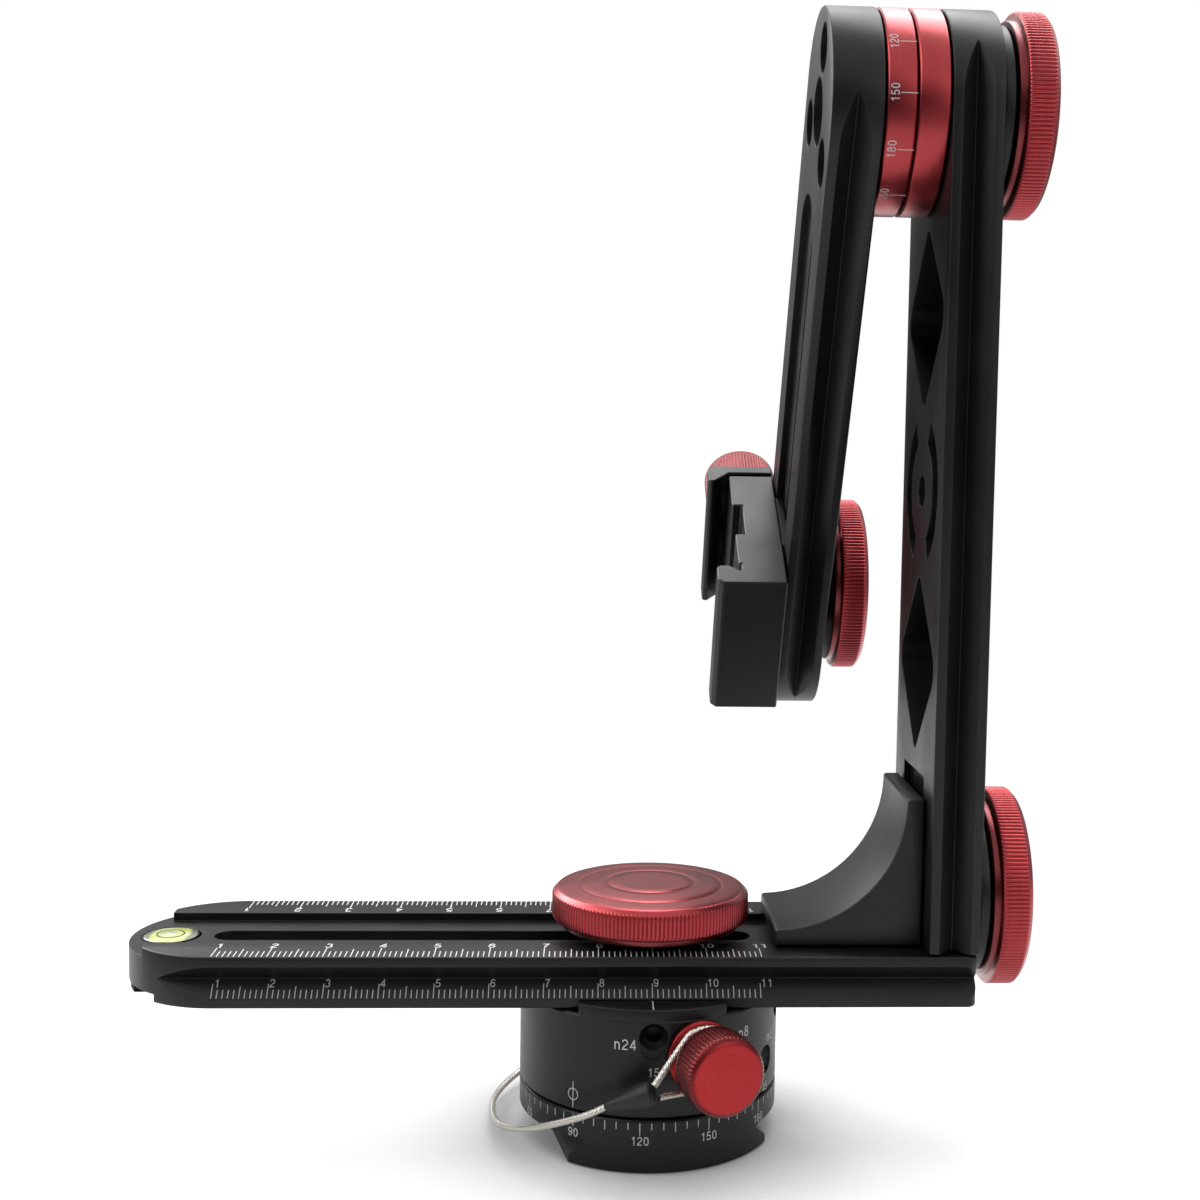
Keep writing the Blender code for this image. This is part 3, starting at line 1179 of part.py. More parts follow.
def build_clamp_body(look, clamp):
    base, seat, top = clamp_levels()
    half = JAW_OPENING / 2
    lip = -half + FLANK_UNDERCUT
    outer = -half - FIXED_JAW_THICKNESS
    inner = half - JAW_GAP
    relief = SEAT_RELIEF_WIDTH / 2
    outline = [
        (base, outer),
        (base, inner),
        (seat, inner),
        (seat, relief),
        (seat + SEAT_RELIEF_DEPTH, relief),
        (seat + SEAT_RELIEF_DEPTH, -relief),
        (seat, -relief),
        (seat, lip + ROOT_RELIEF),
        (seat + ROOT_RELIEF, lip + ROOT_RELIEF),
        (seat + ROOT_RELIEF, -half),
        (seat, -half),
        (seat - FLANK, lip),
        (top + CLAMP_CORNER / 2, lip),
        (top, lip - CLAMP_CORNER / 2),
        (top, outer + CLAMP_CORNER),
        (top + CLAMP_CORNER, outer),
    ]
    mesh = prism("clamp_body", outline, -CLAMP_HALF_LENGTH, CLAMP_HALF_LENGTH)
    body = place("clamp_body", mesh, look["black"], clamp)
    bevelled(body, EDGE)
    key = CHANNEL_WIDTH / 2 - KEY_CLEARANCE
    depth = CHANNEL_DEPTH - KEY_CLEARANCE
    cut(body, block("clamp_key", (base - CLAMP_CORNER, -key, EDGE - CLAMP_HALF_LENGTH),
                    (base + GAP + depth, key, CLAMP_HALF_LENGTH - EDGE)), operation="UNION")
    head = CLAMP_BOLT_HEAD_RADIUS + GAP
    bolt_seat = seat + SEAT_RELIEF_DEPTH + CLAMP_BOLT_HEAD + GAP
    bore(body, "clamp_bolt_recess", head, top, bolt_seat, SMALL_SIDES, rotation=ALONG_X)
    bore(body, "clamp_bolt_hole", STUD_RADIUS + GAP, top, base + OVERRUN + CHANNEL_DEPTH,
         SMALL_SIDES, rotation=ALONG_X)
    axis = base - JAW_AXIS_HEIGHT
    for side, height in (("upper", GUIDE_SPACING / 2), ("lower", -GUIDE_SPACING / 2)):
        bore(body, f"guide_hole_{side}", GUIDE_RADIUS + GAP, inner - GUIDE_LENGTH, inner + OVERRUN,
             SCREW_SIDES, (axis, 0, height), ALONG_Y)
    bore(body, "jaw_screw_hole", JAW_SCREW_RADIUS + GAP, inner - JAW_SCREW_LENGTH + JAW_GAP,
         inner + OVERRUN, SCREW_SIDES, (axis, 0, 0), ALONG_Y)
    return body


def build_clamp_bolt(look, clamp, knob_axis):
    _, seat, _ = clamp_levels()
    head_top = seat + SEAT_RELIEF_DEPTH
    bolt_seat = head_top + CLAMP_BOLT_HEAD
    collar_low = ARM_RIGHT - CHANNEL_DEPTH + GAP
    grip_low = collar_low + ARM_COLLAR_THICKNESS + GAP
    profile = [
        (0, head_top),
        (CLAMP_BOLT_HEAD_RADIUS, head_top),
        (CLAMP_BOLT_HEAD_RADIUS, bolt_seat),
        (STUD_RADIUS, bolt_seat),
        (STUD_RADIUS, grip_low + STUD_REACH),
        (0, grip_low + STUD_REACH),
    ]
    mesh = turned("clamp_bolt", profile, SMALL_SIDES)
    bolt = place("clamp_bolt", mesh, look["steel"], clamp, rotation=ALONG_X)
    bore(bolt, "clamp_bolt_socket", CLAMP_BOLT_HEAD_RADIUS * HEX_SHARE, head_top - OVERRUN,
         head_top + CLAMP_BOLT_HEAD * HEX_DEPTH_SHARE, 6)
    build_collar("arm_collar", look["black"], clamp, SLOT_COLLAR_RADIUS, STUD_RADIUS + GAP,
                 ARM_COLLAR_THICKNESS, (collar_low, 0, 0), ALONG_X)
    build_grip("arm_knob", look, knob_axis, (grip_low, 0, 0), ALONG_X)


def build_moving_jaw(look, jaw):
    base, seat, top = clamp_levels()
    half = JAW_OPENING / 2
    outer = half + MOVING_JAW_THICKNESS
    reach = seat - top - FLANK * JAW_LIP_SHARE
    tip = half - reach
    outline = [
        (base, half),
        (base, outer),
        (top + CLAMP_CORNER, outer),
        (top, outer - CLAMP_CORNER),
        (top, tip + EDGE),
        (top + EDGE, tip),
        (seat - reach, tip),
        (seat, half),
    ]
    mesh = prism("moving_jaw", outline, -CLAMP_HALF_LENGTH, CLAMP_HALF_LENGTH)
    piece = place("moving_jaw", mesh, look["black"], jaw)
    bevelled(piece, EDGE)
    axis = base - JAW_AXIS_HEIGHT
    for side, height in (("upper", GUIDE_SPACING / 2), ("lower", -GUIDE_SPACING / 2)):
        bore(piece, f"jaw_guide_hole_{side}", GUIDE_RADIUS + GAP, half - OVERRUN, outer + OVERRUN,
             SCREW_SIDES, (axis, 0, height), ALONG_Y)
        low = half - JAW_GAP - GUIDE_LENGTH + JAW_GAP * 2
        pin = [(0, low), (GUIDE_RADIUS, low), (GUIDE_RADIUS, outer - GAP), (0, outer - GAP)]
        place(f"guide_pin_{side}", turned(f"guide_pin_{side}", pin, SCREW_SIDES), look["steel"], jaw,
              (axis, 0, height), ALONG_Y)
    bore(piece, "jaw_screw_clearance", JAW_SCREW_RADIUS + GAP, half - OVERRUN, outer + OVERRUN,
         SCREW_SIDES, (axis, 0, 0), ALONG_Y)
    return piece


def build_clamp_knob(look, knob_axis):
    """The jaw's screw and its knurled knob, turned as one piece along local Y."""
    half = JAW_OPENING / 2
    face = half + MOVING_JAW_THICKNESS + GAP
    body = face + CLAMP_KNOB_NECK
    end = body + CLAMP_KNOB_LENGTH
    low = half - JAW_SCREW_LENGTH + 2 * JAW_GAP
    profile = [
        (0, low),
        (JAW_SCREW_RADIUS - EDGE, low),
        (JAW_SCREW_RADIUS, low + EDGE),
        (JAW_SCREW_RADIUS, face),
        (CLAMP_KNOB_NECK_RADIUS, face),
        (CLAMP_KNOB_NECK_RADIUS, body),
        (CLAMP_KNOB_RADIUS - EDGE, body),
        (CLAMP_KNOB_RADIUS, body + EDGE),
        (CLAMP_KNOB_RADIUS, end - CLAMP_KNOB_BEVEL),
        (CLAMP_KNOB_RADIUS - CLAMP_KNOB_BEVEL, end),
        (0, end),
    ]
    mesh = turned("clamp_knob", profile, SMALL_KNOB_SIDES)
    place("clamp_knob", mesh, look["red"], knob_axis, rotation=ALONG_Y)


def build():
    clear_scene()
    look = make_materials()
    turntable = empty("pan_axis")
    rail_knob_axis = empty("rail_knob_axis", turntable)
    location, rotation = radial(KNOB_TURN, KNOB_HEIGHT)
    index_axis = empty("index_axis", turntable, location, rotation)
    slide = empty("rail_slide", turntable)
    lower_axis = empty("lower_knob_axis", slide, (0, 0, RAIL_TOP + LOWER_KNOB_HEIGHT))
    tilt = empty("tilt_axis", slide, (0, 0, TILT_Z), (ARM_SWING, 0, 0))
    tilt_knob_axis = empty("tilt_knob_axis", tilt)
    clamp = empty("clamp_slide", tilt, (0, 0, -CLAMP_CENTRE))
    jaw = empty("jaw_slide", clamp)
    jaw_screw_axis = empty("jaw_screw_axis", jaw, (clamp_levels()[0] - JAW_AXIS_HEIGHT, 0, 0))

    build_base(look)
    build_base_inserts(look)
    build_drum(look, turntable)
    build_index_knob(look, index_axis, index_axis)
    build_lanyard(look, turntable)
    build_rail(look, slide)
    build_level_and_stop(look, slide)
    build_bracket(look, slide)
    build_bracket_screws(look, slide)
    build_upright(look, slide)
    build_rail_lock(look, turntable, rail_knob_axis)
    build_lower_lock(look, slide, lower_axis)
    build_tilt_rings(look, slide, tilt)
    build_tilt_lock(look, slide, tilt, tilt_knob_axis)
    build_camera_arm(look, tilt)
    build_clamp_body(look, clamp)
    build_clamp_bolt(look, clamp, clamp)
    build_moving_jaw(look, jaw)
    build_clamp_knob(look, jaw_screw_axis)


build()
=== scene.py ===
"""Looks of the panoramic head: camera, light, finely turned and cut surfaces, knurls, engraved scales and the wire."""

import json
from math import asin, atan2, copysign, cos, hypot, pi, radians, sin, sqrt, tan, tau

import bmesh
import bpy
import numpy as np
from mathutils import Euler, Matrix, Vector


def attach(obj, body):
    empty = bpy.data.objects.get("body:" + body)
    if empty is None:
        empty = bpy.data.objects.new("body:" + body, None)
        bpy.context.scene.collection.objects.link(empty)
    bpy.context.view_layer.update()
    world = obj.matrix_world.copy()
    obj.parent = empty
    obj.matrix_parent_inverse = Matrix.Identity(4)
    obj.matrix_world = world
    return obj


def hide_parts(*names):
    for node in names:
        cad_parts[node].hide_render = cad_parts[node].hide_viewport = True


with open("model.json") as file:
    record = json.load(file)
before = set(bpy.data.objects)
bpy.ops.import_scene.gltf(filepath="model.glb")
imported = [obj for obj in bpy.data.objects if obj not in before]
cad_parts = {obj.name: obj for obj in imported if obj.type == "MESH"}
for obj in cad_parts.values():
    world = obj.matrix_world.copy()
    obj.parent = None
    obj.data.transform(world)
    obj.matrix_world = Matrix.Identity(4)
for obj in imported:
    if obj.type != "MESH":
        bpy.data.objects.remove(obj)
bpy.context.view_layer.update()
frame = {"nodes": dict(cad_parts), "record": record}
nodes = frame["nodes"]

TURN = tau
TINY = 1e-7
ORIGIN = (0, 0, 0)
GAP, EDGE, OVER = 0.0003, 0.0004, 0.002  # between pieces, along a plain chamfer, and of a cutter past what it cuts


def linked(name, data):
    thing = bpy.data.objects.new(name, data)
    bpy.context.scene.collection.objects.link(thing)
    return thing


# -------- camera, light and floor

YAW, PITCH, ROLL = radians(3.161), radians(4.479), radians(0.955)
FOCAL_PX, MIDDLE_X, MIDDLE_Y, IMAGE = 1635.782, 684.032, 583.929, 1200
CAMERA_SPOT = (-0.011664, -0.311993, 0.130015)
SENSOR = 36
AIM = (0.0, 0.0, 0.10)
LAMPS = {  # place, width, height and power of each soft box
    "softbox_left": ((-0.75, -0.15, 0.70), 0.50, 0.60, 3.1),
    "softbox_back_left": ((-0.60, 0.55, 0.55), 0.50, 0.50, 6.0),
    "softbox_above": ((0.20, 0.35, 0.95), 0.90, 0.55, 8.0),
    "fill_right": ((0.60, -0.80, 0.40), 0.60, 0.60, 1.5),
}
WHITE, STUDIO_GREY, DEEP_SHADE = (1, 1, 1, 1), (0.20, 0.20, 0.205, 1), (0.08, 0.08, 0.08, 1)
FLOOR_TONES = (0.40, 0.40, 0.40, 1), (0.43, 0.43, 0.43, 1)
FLOOR_RADIUS, FLOOR_DROP, FLOOR_GLOW, CONTACT_REACH = 4.0, 0.00005, 0.80, 0.030


def build_camera():
    forward = Vector((sin(YAW) * cos(PITCH), cos(YAW) * cos(PITCH), -sin(PITCH)))
    right = Vector((cos(YAW), -sin(YAW), 0))
    up = right.cross(forward)
    side = right * cos(ROLL) + up * sin(ROLL)
    top = up * cos(ROLL) - right * sin(ROLL)
    data = bpy.data.cameras.new("photo_camera")
    data.sensor_width = SENSOR
    data.lens = FOCAL_PX * SENSOR / IMAGE
    data.shift_x = (IMAGE / 2 - MIDDLE_X) / IMAGE
    data.shift_y = (MIDDLE_Y - IMAGE / 2) / IMAGE
    data.clip_start, data.clip_end = 0.01, 20
    camera = linked("photo_camera", data)
    matrix = Matrix((side, top, -forward)).transposed().to_4x4()
    matrix.translation = CAMERA_SPOT
    camera.matrix_world = matrix
    bpy.context.scene.camera = camera


def build_lamps():
    for name, (spot, width, height, power) in LAMPS.items():
        data = bpy.data.lights.new(name, "AREA")
        data.shape, data.size, data.size_y, data.energy = "RECTANGLE", width, height, power
        thing = linked(name, data)
        thing.location = spot
        thing.rotation_euler = (Vector(AIM) - Vector(spot)).to_track_quat("-Z", "Y").to_euler()


class Tree:
    """A short way to write a node tree."""

    def __init__(self, tree, clear=False):
        self.tree = tree
        if clear:
            tree.nodes.clear()

    def node(self, kind, inputs=None, **settings):
        made = self.tree.nodes.new("ShaderNode" + kind)
        for key, value in settings.items():
            setattr(made, key, value)
        for key, value in (inputs or {}).items():
            self.feed(made.inputs[key], value)
        return made

    def feed(self, socket, value):
        if isinstance(value, bpy.types.NodeSocket):
            self.tree.links.new(value, socket)
        else:
            socket.default_value = value

    def math(self, operation, first, second=0.0, third=0.0):
        return self.node("Math", {0: first, 1: second, 2: third}, operation=operation).outputs[0]

    def times(self, first, second):
        return self.math("MULTIPLY", first, second)

    def range(self, value, low, high, out_low=0.0, out_high=1.0, smooth=False):
        inputs = {"Value": value, "From Min": low, "From Max": high, "To Min": out_low, "To Max": out_high}
        kind = "SMOOTHSTEP" if smooth else "LINEAR"
        return self.node("MapRange", inputs, interpolation_type=kind).outputs["Result"]

    def mix(self, factor, first, second):
        return self.node("Mix", {"Factor": factor, 6: first, 7: second}, data_type="RGBA").outputs[2]

    def vector(self, operation, *vectors):
        return self.node("VectorMath", dict(enumerate(vectors)), operation=operation).outputs["Value"]

    def noise(self, spot, scale, detail, roughness=0.5):
        return self.node("TexNoise", {"Vector": spot, "Scale": scale, "Detail": detail,
                                      "Roughness": roughness}).outputs["Fac"]

    def bump(self, strength, distance, height, **normal):
        inputs = {"Strength": strength, "Distance": distance, "Height": height, **normal}
        return self.node("Bump", inputs).outputs["Normal"]

    def axes(self, spot):
        """The three parts of a place, and its distance from the Z axis."""
        parts = self.node("SeparateXYZ", {"Vector": spot}).outputs
        flat = self.node("CombineXYZ", {"X": parts["X"], "Y": parts["Y"]}).outputs[0]
        return parts, self.vector("LENGTH", flat)

    def edges(self, radius):
        """The normal with its edges rounded, and how far it leans from the face's own there."""
        rounded = self.node("Bevel", {"Radius": radius}, samples=6).outputs["Normal"]
        lean = self.vector("DOT_PRODUCT", rounded, self.node("NewGeometry").outputs["Normal"])
        return rounded, self.range(lean, 0.995, 0.80)

    def rays(self):
        """The light path, and whether a ray comes straight from the camera or through something clear."""
        path = self.node("LightPath").outputs
        return path, self.math("MAXIMUM", path["Is Camera Ray"], path["Is Transmission Ray"])

    def lit(self, kind, colour, strength=1.0):
        return self.node(kind, {"Color": colour, "Strength": strength}).outputs[0]

    def blend(self, factor, first, second):
        return self.node("MixShader", {0: factor, 1: first, 2: second}).outputs[0]


def build_world():
    """Dim even light. What gloss mirrors is bright above and fainter behind and at the sides."""
    world = bpy.data.worlds.new("studio")
    bpy.context.scene.world = world
    world.use_nodes = True
    t = Tree(world.node_tree, clear=True)
    way = t.node("SeparateXYZ", {"Vector": t.node("TexCoord").outputs["Generated"]}).outputs
    skyline = t.range(way["Z"], 0.16, 0.08, 0.10, 0.22, smooth=True)
    behind = t.times(t.range(way["Y"], -0.20, 0.60, smooth=True), skyline)
    above = t.range(way["Z"], 0.15, 0.60, 0.0, 1.10, smooth=True)
    left = t.range(way["X"], -0.30, -0.95, 0.0, 0.22, smooth=True)
    right = t.range(way["X"], 0.55, 0.95, 0.02, 0.30, smooth=True)
    seen = t.math("ADD", t.math("ADD", behind, above), t.math("ADD", left, right))
    path, clear = t.rays()
    glossy = t.blend(path["Is Glossy Ray"], t.lit("Background", STUDIO_GREY), t.lit("Background", WHITE, seen))
    t.node("OutputWorld", {"Surface": t.blend(clear, glossy, t.lit("Background", WHITE))})


def build_floor():
    """A pale floor that keeps the object's shadow, with a painted contact shadow where ambient occlusion dims its glow
    near the object, and is plain white further out.
    """
    bm = bmesh.new()
    bmesh.ops.create_circle(bm, cap_ends=True, segments=96, radius=FLOOR_RADIUS)
    mesh = finished(bm, bpy.data.meshes.new("floor"))
    floor = linked("floor", mesh)
    floor.location.z = -FLOOR_DROP
    look = bpy.data.materials.new("floor_white")
    look.use_nodes = True
    t = Tree(look.node_tree, clear=True)
    spot = t.node("TexCoord").outputs["Object"]
    far = t.vector("LENGTH", spot)
    path, clear = t.rays()
    shown = t.math("MAXIMUM", clear, path["Is Glossy Ray"])
    tone = t.mix(t.noise(spot, 35.0, 4.0), *FLOOR_TONES)
    reach = t.range(far, 0.26, 0.75, 1.0, 0.18, smooth=True)
    # painted contact shadow: ambient occlusion near the object dims the floor's glow
    crevice = t.node("AmbientOcclusion", {"Distance": CONTACT_REACH}, samples=12).outputs["AO"]
    painted_contact_shadow = t.range(crevice, 0.35, 0.96, 0.12, 1.0)
    paper = t.node("BsdfDiffuse", {"Color": t.mix(reach, DEEP_SHADE, tone)}).outputs[0]
    lift = t.lit("Emission", WHITE, t.times(t.times(shown, reach), t.times(painted_contact_shadow, FLOOR_GLOW)))
    near = t.node("AddShader", {0: paper, 1: lift}).outputs[0]
    beyond = t.times(clear, t.range(far, 0.13, 0.28, smooth=True))
    t.node("OutputMaterial", {"Surface": t.blend(beyond, near, t.lit("Emission", WHITE))})
    mesh.materials.append(look)


# -------- materials


def new_look(name, colour, metallic, roughness, **constants):
    look = bpy.data.materials.new(name)
    look.use_nodes = True
    t = Tree(look.node_tree)
    shader = look.node_tree.nodes["Principled BSDF"]
    shader.inputs["Base Color"].default_value = (*colour, 1)
    shader.inputs["Metallic"].default_value = metallic
    shader.inputs["Roughness"].default_value = roughness
    for key, value in constants.items():
        shader.inputs[key.replace("_", " ")].default_value = value
    return look, t, shader.inputs, t.node("TexCoord").outputs["Object"]


def cover(t, into, colour, roughness, normal):
    for socket, value in (("Base Color", colour), ("Roughness", roughness), ("Normal", normal)):
        t.feed(into[socket], value)


def shaded(colour, share=1.0, more=0.0):
    return (*(min(1.0, c * share + more) for c in colour), 1)


def black_anodised(name, dark, light, rough, grain=0.10, shine=0.30):
    """Blasted and dyed aluminium: a fine sparkle of grain, softly uneven sheen, and a painted highlight that makes the
    edges a little lighter.
    """
    look, t, into, spot = new_look(name, dark, 0.0, rough, Specular_IOR_Level=shine)
    cloud = t.noise(spot, 70.0, 4.0)
    shade = t.mix(t.range(t.noise(spot, 2600.0, 1.0), 0.40, 0.75), shaded(dark), shaded(light))
    rounded, edge = t.edges(0.00028)
    # painted highlight: the rounded edges are mixed towards a lighter colour
    painted_edge_highlight = t.times(edge, t.range(cloud, 0.35, 0.65, 0.35, 1.0))
    cover(t, into, t.mix(painted_edge_highlight, shade, (0.040, 0.041, 0.044, 1)), t.range(cloud, 0.30, 0.70, rough - 0.05, rough + 0.05),
          t.bump(grain, 0.00002, t.noise(spot, 7000.0, 3.0, 0.65), Normal=rounded))
    return look


def turned_look(name, colour, pale, metallic, rough, depth=0.12, own=False, side=0.0, flange=0.0, **constants):
    """Anodised metal off a lathe: fine rings about the piece's own Z axis, on its faces and along its sides.

    It is darker up to the height flange and beyond the radius side, as painted shade, and its edges are lighter as a
    painted highlight."""
    look, t, into, spot = new_look(name, colour, metallic, rough, **constants)
    if own:
        spot = t.node("Attribute", attribute_name="own").outputs["Vector"]
    axes, across = t.axes(spot)
    along = t.math("ADD", across, axes["Z"])
    drift = t.noise(t.node("CombineXYZ", {"X": along}).outputs[0], 2200.0, 3.0, 0.7)
    rings = t.math("SINE", t.times(along, TURN / RING_PITCH))
    cloud = t.noise(spot, 130.0, 4.0)
    rounded, edge = t.edges(0.00022)
    body = t.mix(t.range(t.times(drift, cloud), 0.12, 0.40), shaded(colour), shaded(pale))
    # painted shade: the colour is darkened up to the flange height
    if flange:
        body = t.mix(t.range(axes["Z"], flange, flange + 0.0001), shaded(colour, 0.50), body)
    # painted shade: the colour is darkened beyond the side radius
    if side:
        body = t.mix(t.range(across, side, side + 0.0006), body, shaded(colour, 0.42))
    first = t.bump(0.10, 0.00002, t.noise(spot, 6000.0, 2.0), Normal=rounded)
    # painted highlight: the rounded edges are mixed towards a paler colour
    cover(t, into, t.mix(t.times(edge, 0.55), body, shaded(pale, 1.25, 0.03)),
          t.math("MULTIPLY_ADD", t.math("SUBTRACT", cloud, 0.5), 0.22, rough),
          t.bump(depth, 0.00003, t.math("MULTIPLY_ADD", rings, 0.25, drift), Normal=first))
    return look


def grainy(name, dark, light, metallic, rough, scale, bump_depth, **constants):
    """A plain material with grain at the given scale."""
    look, t, into, spot = new_look(name, dark, metallic, rough, **constants)
    grain = t.noise(spot, scale, 4.0, 0.6)
    cover(t, into, t.mix(t.range(grain, 0.3, 0.7), shaded(dark), shaded(light)),
          t.range(t.noise(spot, scale / 20, 3.0), 0.3, 0.7, rough - 0.06, rough + 0.06),
          t.bump(bump_depth, 0.00003, grain))
    return look


def wire_look():
    """Stranded steel rope: the small wires show as slanting lines along each strand."""
    look, t, into, spot = new_look("steel_rope", (0.55, 0.53, 0.49), 1.0, 0.34)
    lay = t.node("Attribute", attribute_name="lay").outputs["Fac"]
    fine = t.math("SINE", t.times(lay, TURN))
    grain = t.noise(spot, 4000.0, 2.0)
    pale = t.range(t.math("MULTIPLY_ADD", fine, 0.35, grain), 0.2, 0.9)
    cover(t, into, t.mix(pale, (0.34, 0.32, 0.29, 1), (0.74, 0.71, 0.66, 1)), t.range(grain, 0.3, 0.7, 0.26, 0.42),
          t.bump(0.5, 0.00005, fine))
    return look


def fluid_look():
    """Dyed spirit under its clear cap, with painted light: brighter at the front and back, where the light gathers, and
    greyed at the sides near the rim as a painted reflection of the dark cup.
    """
    look, t, into, spot = new_look("level_fluid", (0.70, 0.78, 0.22), 0.0, 0.30, Coat_Weight=1.0,
                                   Coat_Roughness=0.03, Specular_IOR_Level=0.5)
    axes, across = t.axes(spot)
    sides = t.range(t.math("ABSOLUTE", axes["X"]), 0.0029, 0.0037, smooth=True)
    rim = t.range(across, 0.0032, 0.0042, smooth=True)
    cloud = t.noise(spot, 500.0, 3.0)
    tone = t.mix(t.range(cloud, 0.3, 0.7), (0.72, 0.80, 0.18, 1), (0.84, 0.90, 0.40, 1))
    # painted reflection: the colour is greyed at the sides near the rim
    t.feed(into["Base Color"], t.mix(t.times(t.times(sides, rim), 0.92), tone, (0.17, 0.18, 0.15, 1)))
    t.feed(into["Roughness"], t.range(cloud, 0.3, 0.7, 0.22, 0.36))
    return look


RING_PITCH = 0.00016
DYE = (0.0050, 0.0051, 0.0055)
RED_DYE = {"colour": (0.28, 0.012, 0.017), "pale": (0.36, 0.022, 0.028), "metallic": 0.92, "rough": 0.32,
           "Coat_Weight": 0.60, "Coat_Roughness": 0.30}
BLACK = black_anodised("black_anodised", DYE, (0.0095, 0.0097, 0.0103), 0.40)
BLACK_CAST = black_anodised("black_cast", (0.0075, 0.0076, 0.0080), (0.0135, 0.0137, 0.0143), 0.47, 0.22, 0.38)
BLACK_TURNED = turned_look("black_turned", DYE, (0.0090, 0.0092, 0.0098), 0.0, 0.38, depth=0.05,
                           Specular_IOR_Level=0.30)
RED = turned_look("red_anodised", **RED_DYE)
# the grips' red, with painted shade below the flange height
RED_GRIP = turned_look("red_anodised_grip", flange=0.00130, **RED_DYE)
# the red of the small knobs, with painted shade on their knurled sides
RED_OWN = turned_look("red_anodised_own", (0.30, 0.009, 0.012), (0.38, 0.016, 0.020), 0.92, 0.34, own=True,
                      side=0.0061, Coat_Weight=0.30, Coat_Roughness=0.30)
STEEL = turned_look("turned_steel", (0.42, 0.41, 0.40), (0.56, 0.55, 0.54), 1.0, 0.32)
OXIDE = turned_look("black_steel", (0.030, 0.030, 0.032), (0.050, 0.050, 0.053), 0.6, 0.38, depth=0.08)
BRASS = turned_look("turned_brass", (0.62, 0.43, 0.18), (0.76, 0.56, 0.28), 1.0, 0.34)
POLYMER = grainy("white_polymer", (0.62, 0.61, 0.58), (0.70, 0.69, 0.66), 0.0, 0.50, 900.0, 0.15)
SLEEVE = grainy("shrink_sleeve", (0.010, 0.010, 0.011), (0.022, 0.022, 0.023), 0.0, 0.52, 1300.0, 0.35,
                Specular_IOR_Level=0.40)
MATTE = grainy("matte_black", (0.0035, 0.0035, 0.0038), (0.0075, 0.0075, 0.0080), 0.0, 0.62, 1500.0, 0.30,
               Specular_IOR_Level=0.12)
PAINT = grainy("white_marks", (0.74, 0.74, 0.73), (0.92, 0.92, 0.91), 0.0, 0.60, 2400.0, 0.25)
FAINT = grainy("grey_marks", (0.60, 0.60, 0.59), (0.78, 0.78, 0.77), 0.0, 0.62, 2400.0, 0.25)
BUBBLE = grainy("level_bubble", (0.66, 0.70, 0.46), (0.80, 0.83, 0.62), 0.0, 0.18, 700.0, 0.02, Coat_Weight=1.0)
WIRE = wire_look()
FLUID = fluid_look()

# -------- mesh tools


def piece(name, mesh, look, body, matrix=None, replaces=(), angle=28, smooth=True):
    """Puts a mesh in place, gives it its look, hangs it on the empty of the body it rides on, and hides the CAD parts
    it replaces.
    """
    thing = linked(name, mesh)
    mesh.name = name
    mesh.materials.clear()
    mesh.materials.append(look)
    if smooth:
        mesh.polygons.foreach_set("use_smooth", [True] * len(mesh.polygons))
        mesh.set_sharp_from_angle(angle=radians(angle))
    if matrix is not None:
        thing.matrix_world = matrix
    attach(thing, body)
    if replaces:
        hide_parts(*replaces)
    return thing


def soften(points, radius, steps=3):
    """Rounds the corners of an open profile, by at most a third of the sides that meet there."""
    result = [points[0]]
    for before, here, after in zip(points, points[1:], points[2:]):
        first = Vector(before) - Vector(here)
        second = Vector(after) - Vector(here)
        bend = pi - first.angle(second, pi)
        if bend < radians(12):
            result.append(here)
            continue
        run = min(radius * tan(bend / 2), first.length / 3, second.length / 3)
        start, end = first.normalized() * run, second.normalized() * run
        for step in range(steps + 1):
            share = step / steps
            spot = start * (1 - share) ** 2 + end * share ** 2
            result.append((here[0] + spot.x, here[1] + spot.y))
    result.append(points[-1])
    return result


def lathe(profile, sides, shape=None, closed=False):
    """A turned mesh. Where shape is given, shape(r, z, turns) is the radius at each of the turns."""
    turns = np.arange(sides) * TURN / sides
    points, rows = [], []
    for r, z in profile:
        if r < TINY:
            rows.append(len(points))
            points.append((0.0, 0.0, z))
            continue
        reach = np.full(sides, r) if shape is None else shape(r, z, turns)
        rows.append(range(len(points), len(points) + sides))
        points += list(zip(reach * np.cos(turns), reach * np.sin(turns), np.full(sides, z)))
    pairs = list(zip(rows, rows[1:]))
    if closed:
        pairs.append((rows[-1], rows[0]))
    faces = []
    for low, high in pairs:
        for i in range(sides):
            j = (i + 1) % sides
            if isinstance(low, int):
                faces.append((low, high[j], high[i]))
            elif isinstance(high, int):
                faces.append((low[i], low[j], high))
            else:
                faces.append((low[i], low[j], high[j], high[i]))
    mesh = bpy.data.meshes.new("lathe")
    mesh.from_pydata([tuple(map(float, p)) for p in points], [], faces)
    return outward(mesh)


def finished(bm, mesh):
    bm.to_mesh(mesh)
    bm.free()
    return mesh


def opened(mesh):
    bm = bmesh.new()
    bm.from_mesh(mesh)
    return bm


def outward(mesh):
    bm = opened(mesh)
    bmesh.ops.recalc_face_normals(bm, faces=bm.faces)
    return finished(bm, mesh)


def prism(outline, low, high, plane="XY"):
    spots = {"XY": lambda a, b, c: (a, b, c), "XZ": lambda a, b, c: (a, c, b), "YZ": lambda a, b, c: (c, a, b)}[plane]
    bm = bmesh.new()
    near, far = ([bm.verts.new(spots(a, b, height)) for a, b in outline] for height in (low, high))
    bm.faces.new(near)
    bm.faces.new(far)
    for i in range(len(outline)):
        j = (i + 1) % len(outline)
        bm.faces.new((near[i], near[j], far[j], far[i]))
    bmesh.ops.recalc_face_normals(bm, faces=bm.faces)
    return finished(bm, bpy.data.meshes.new("prism"))


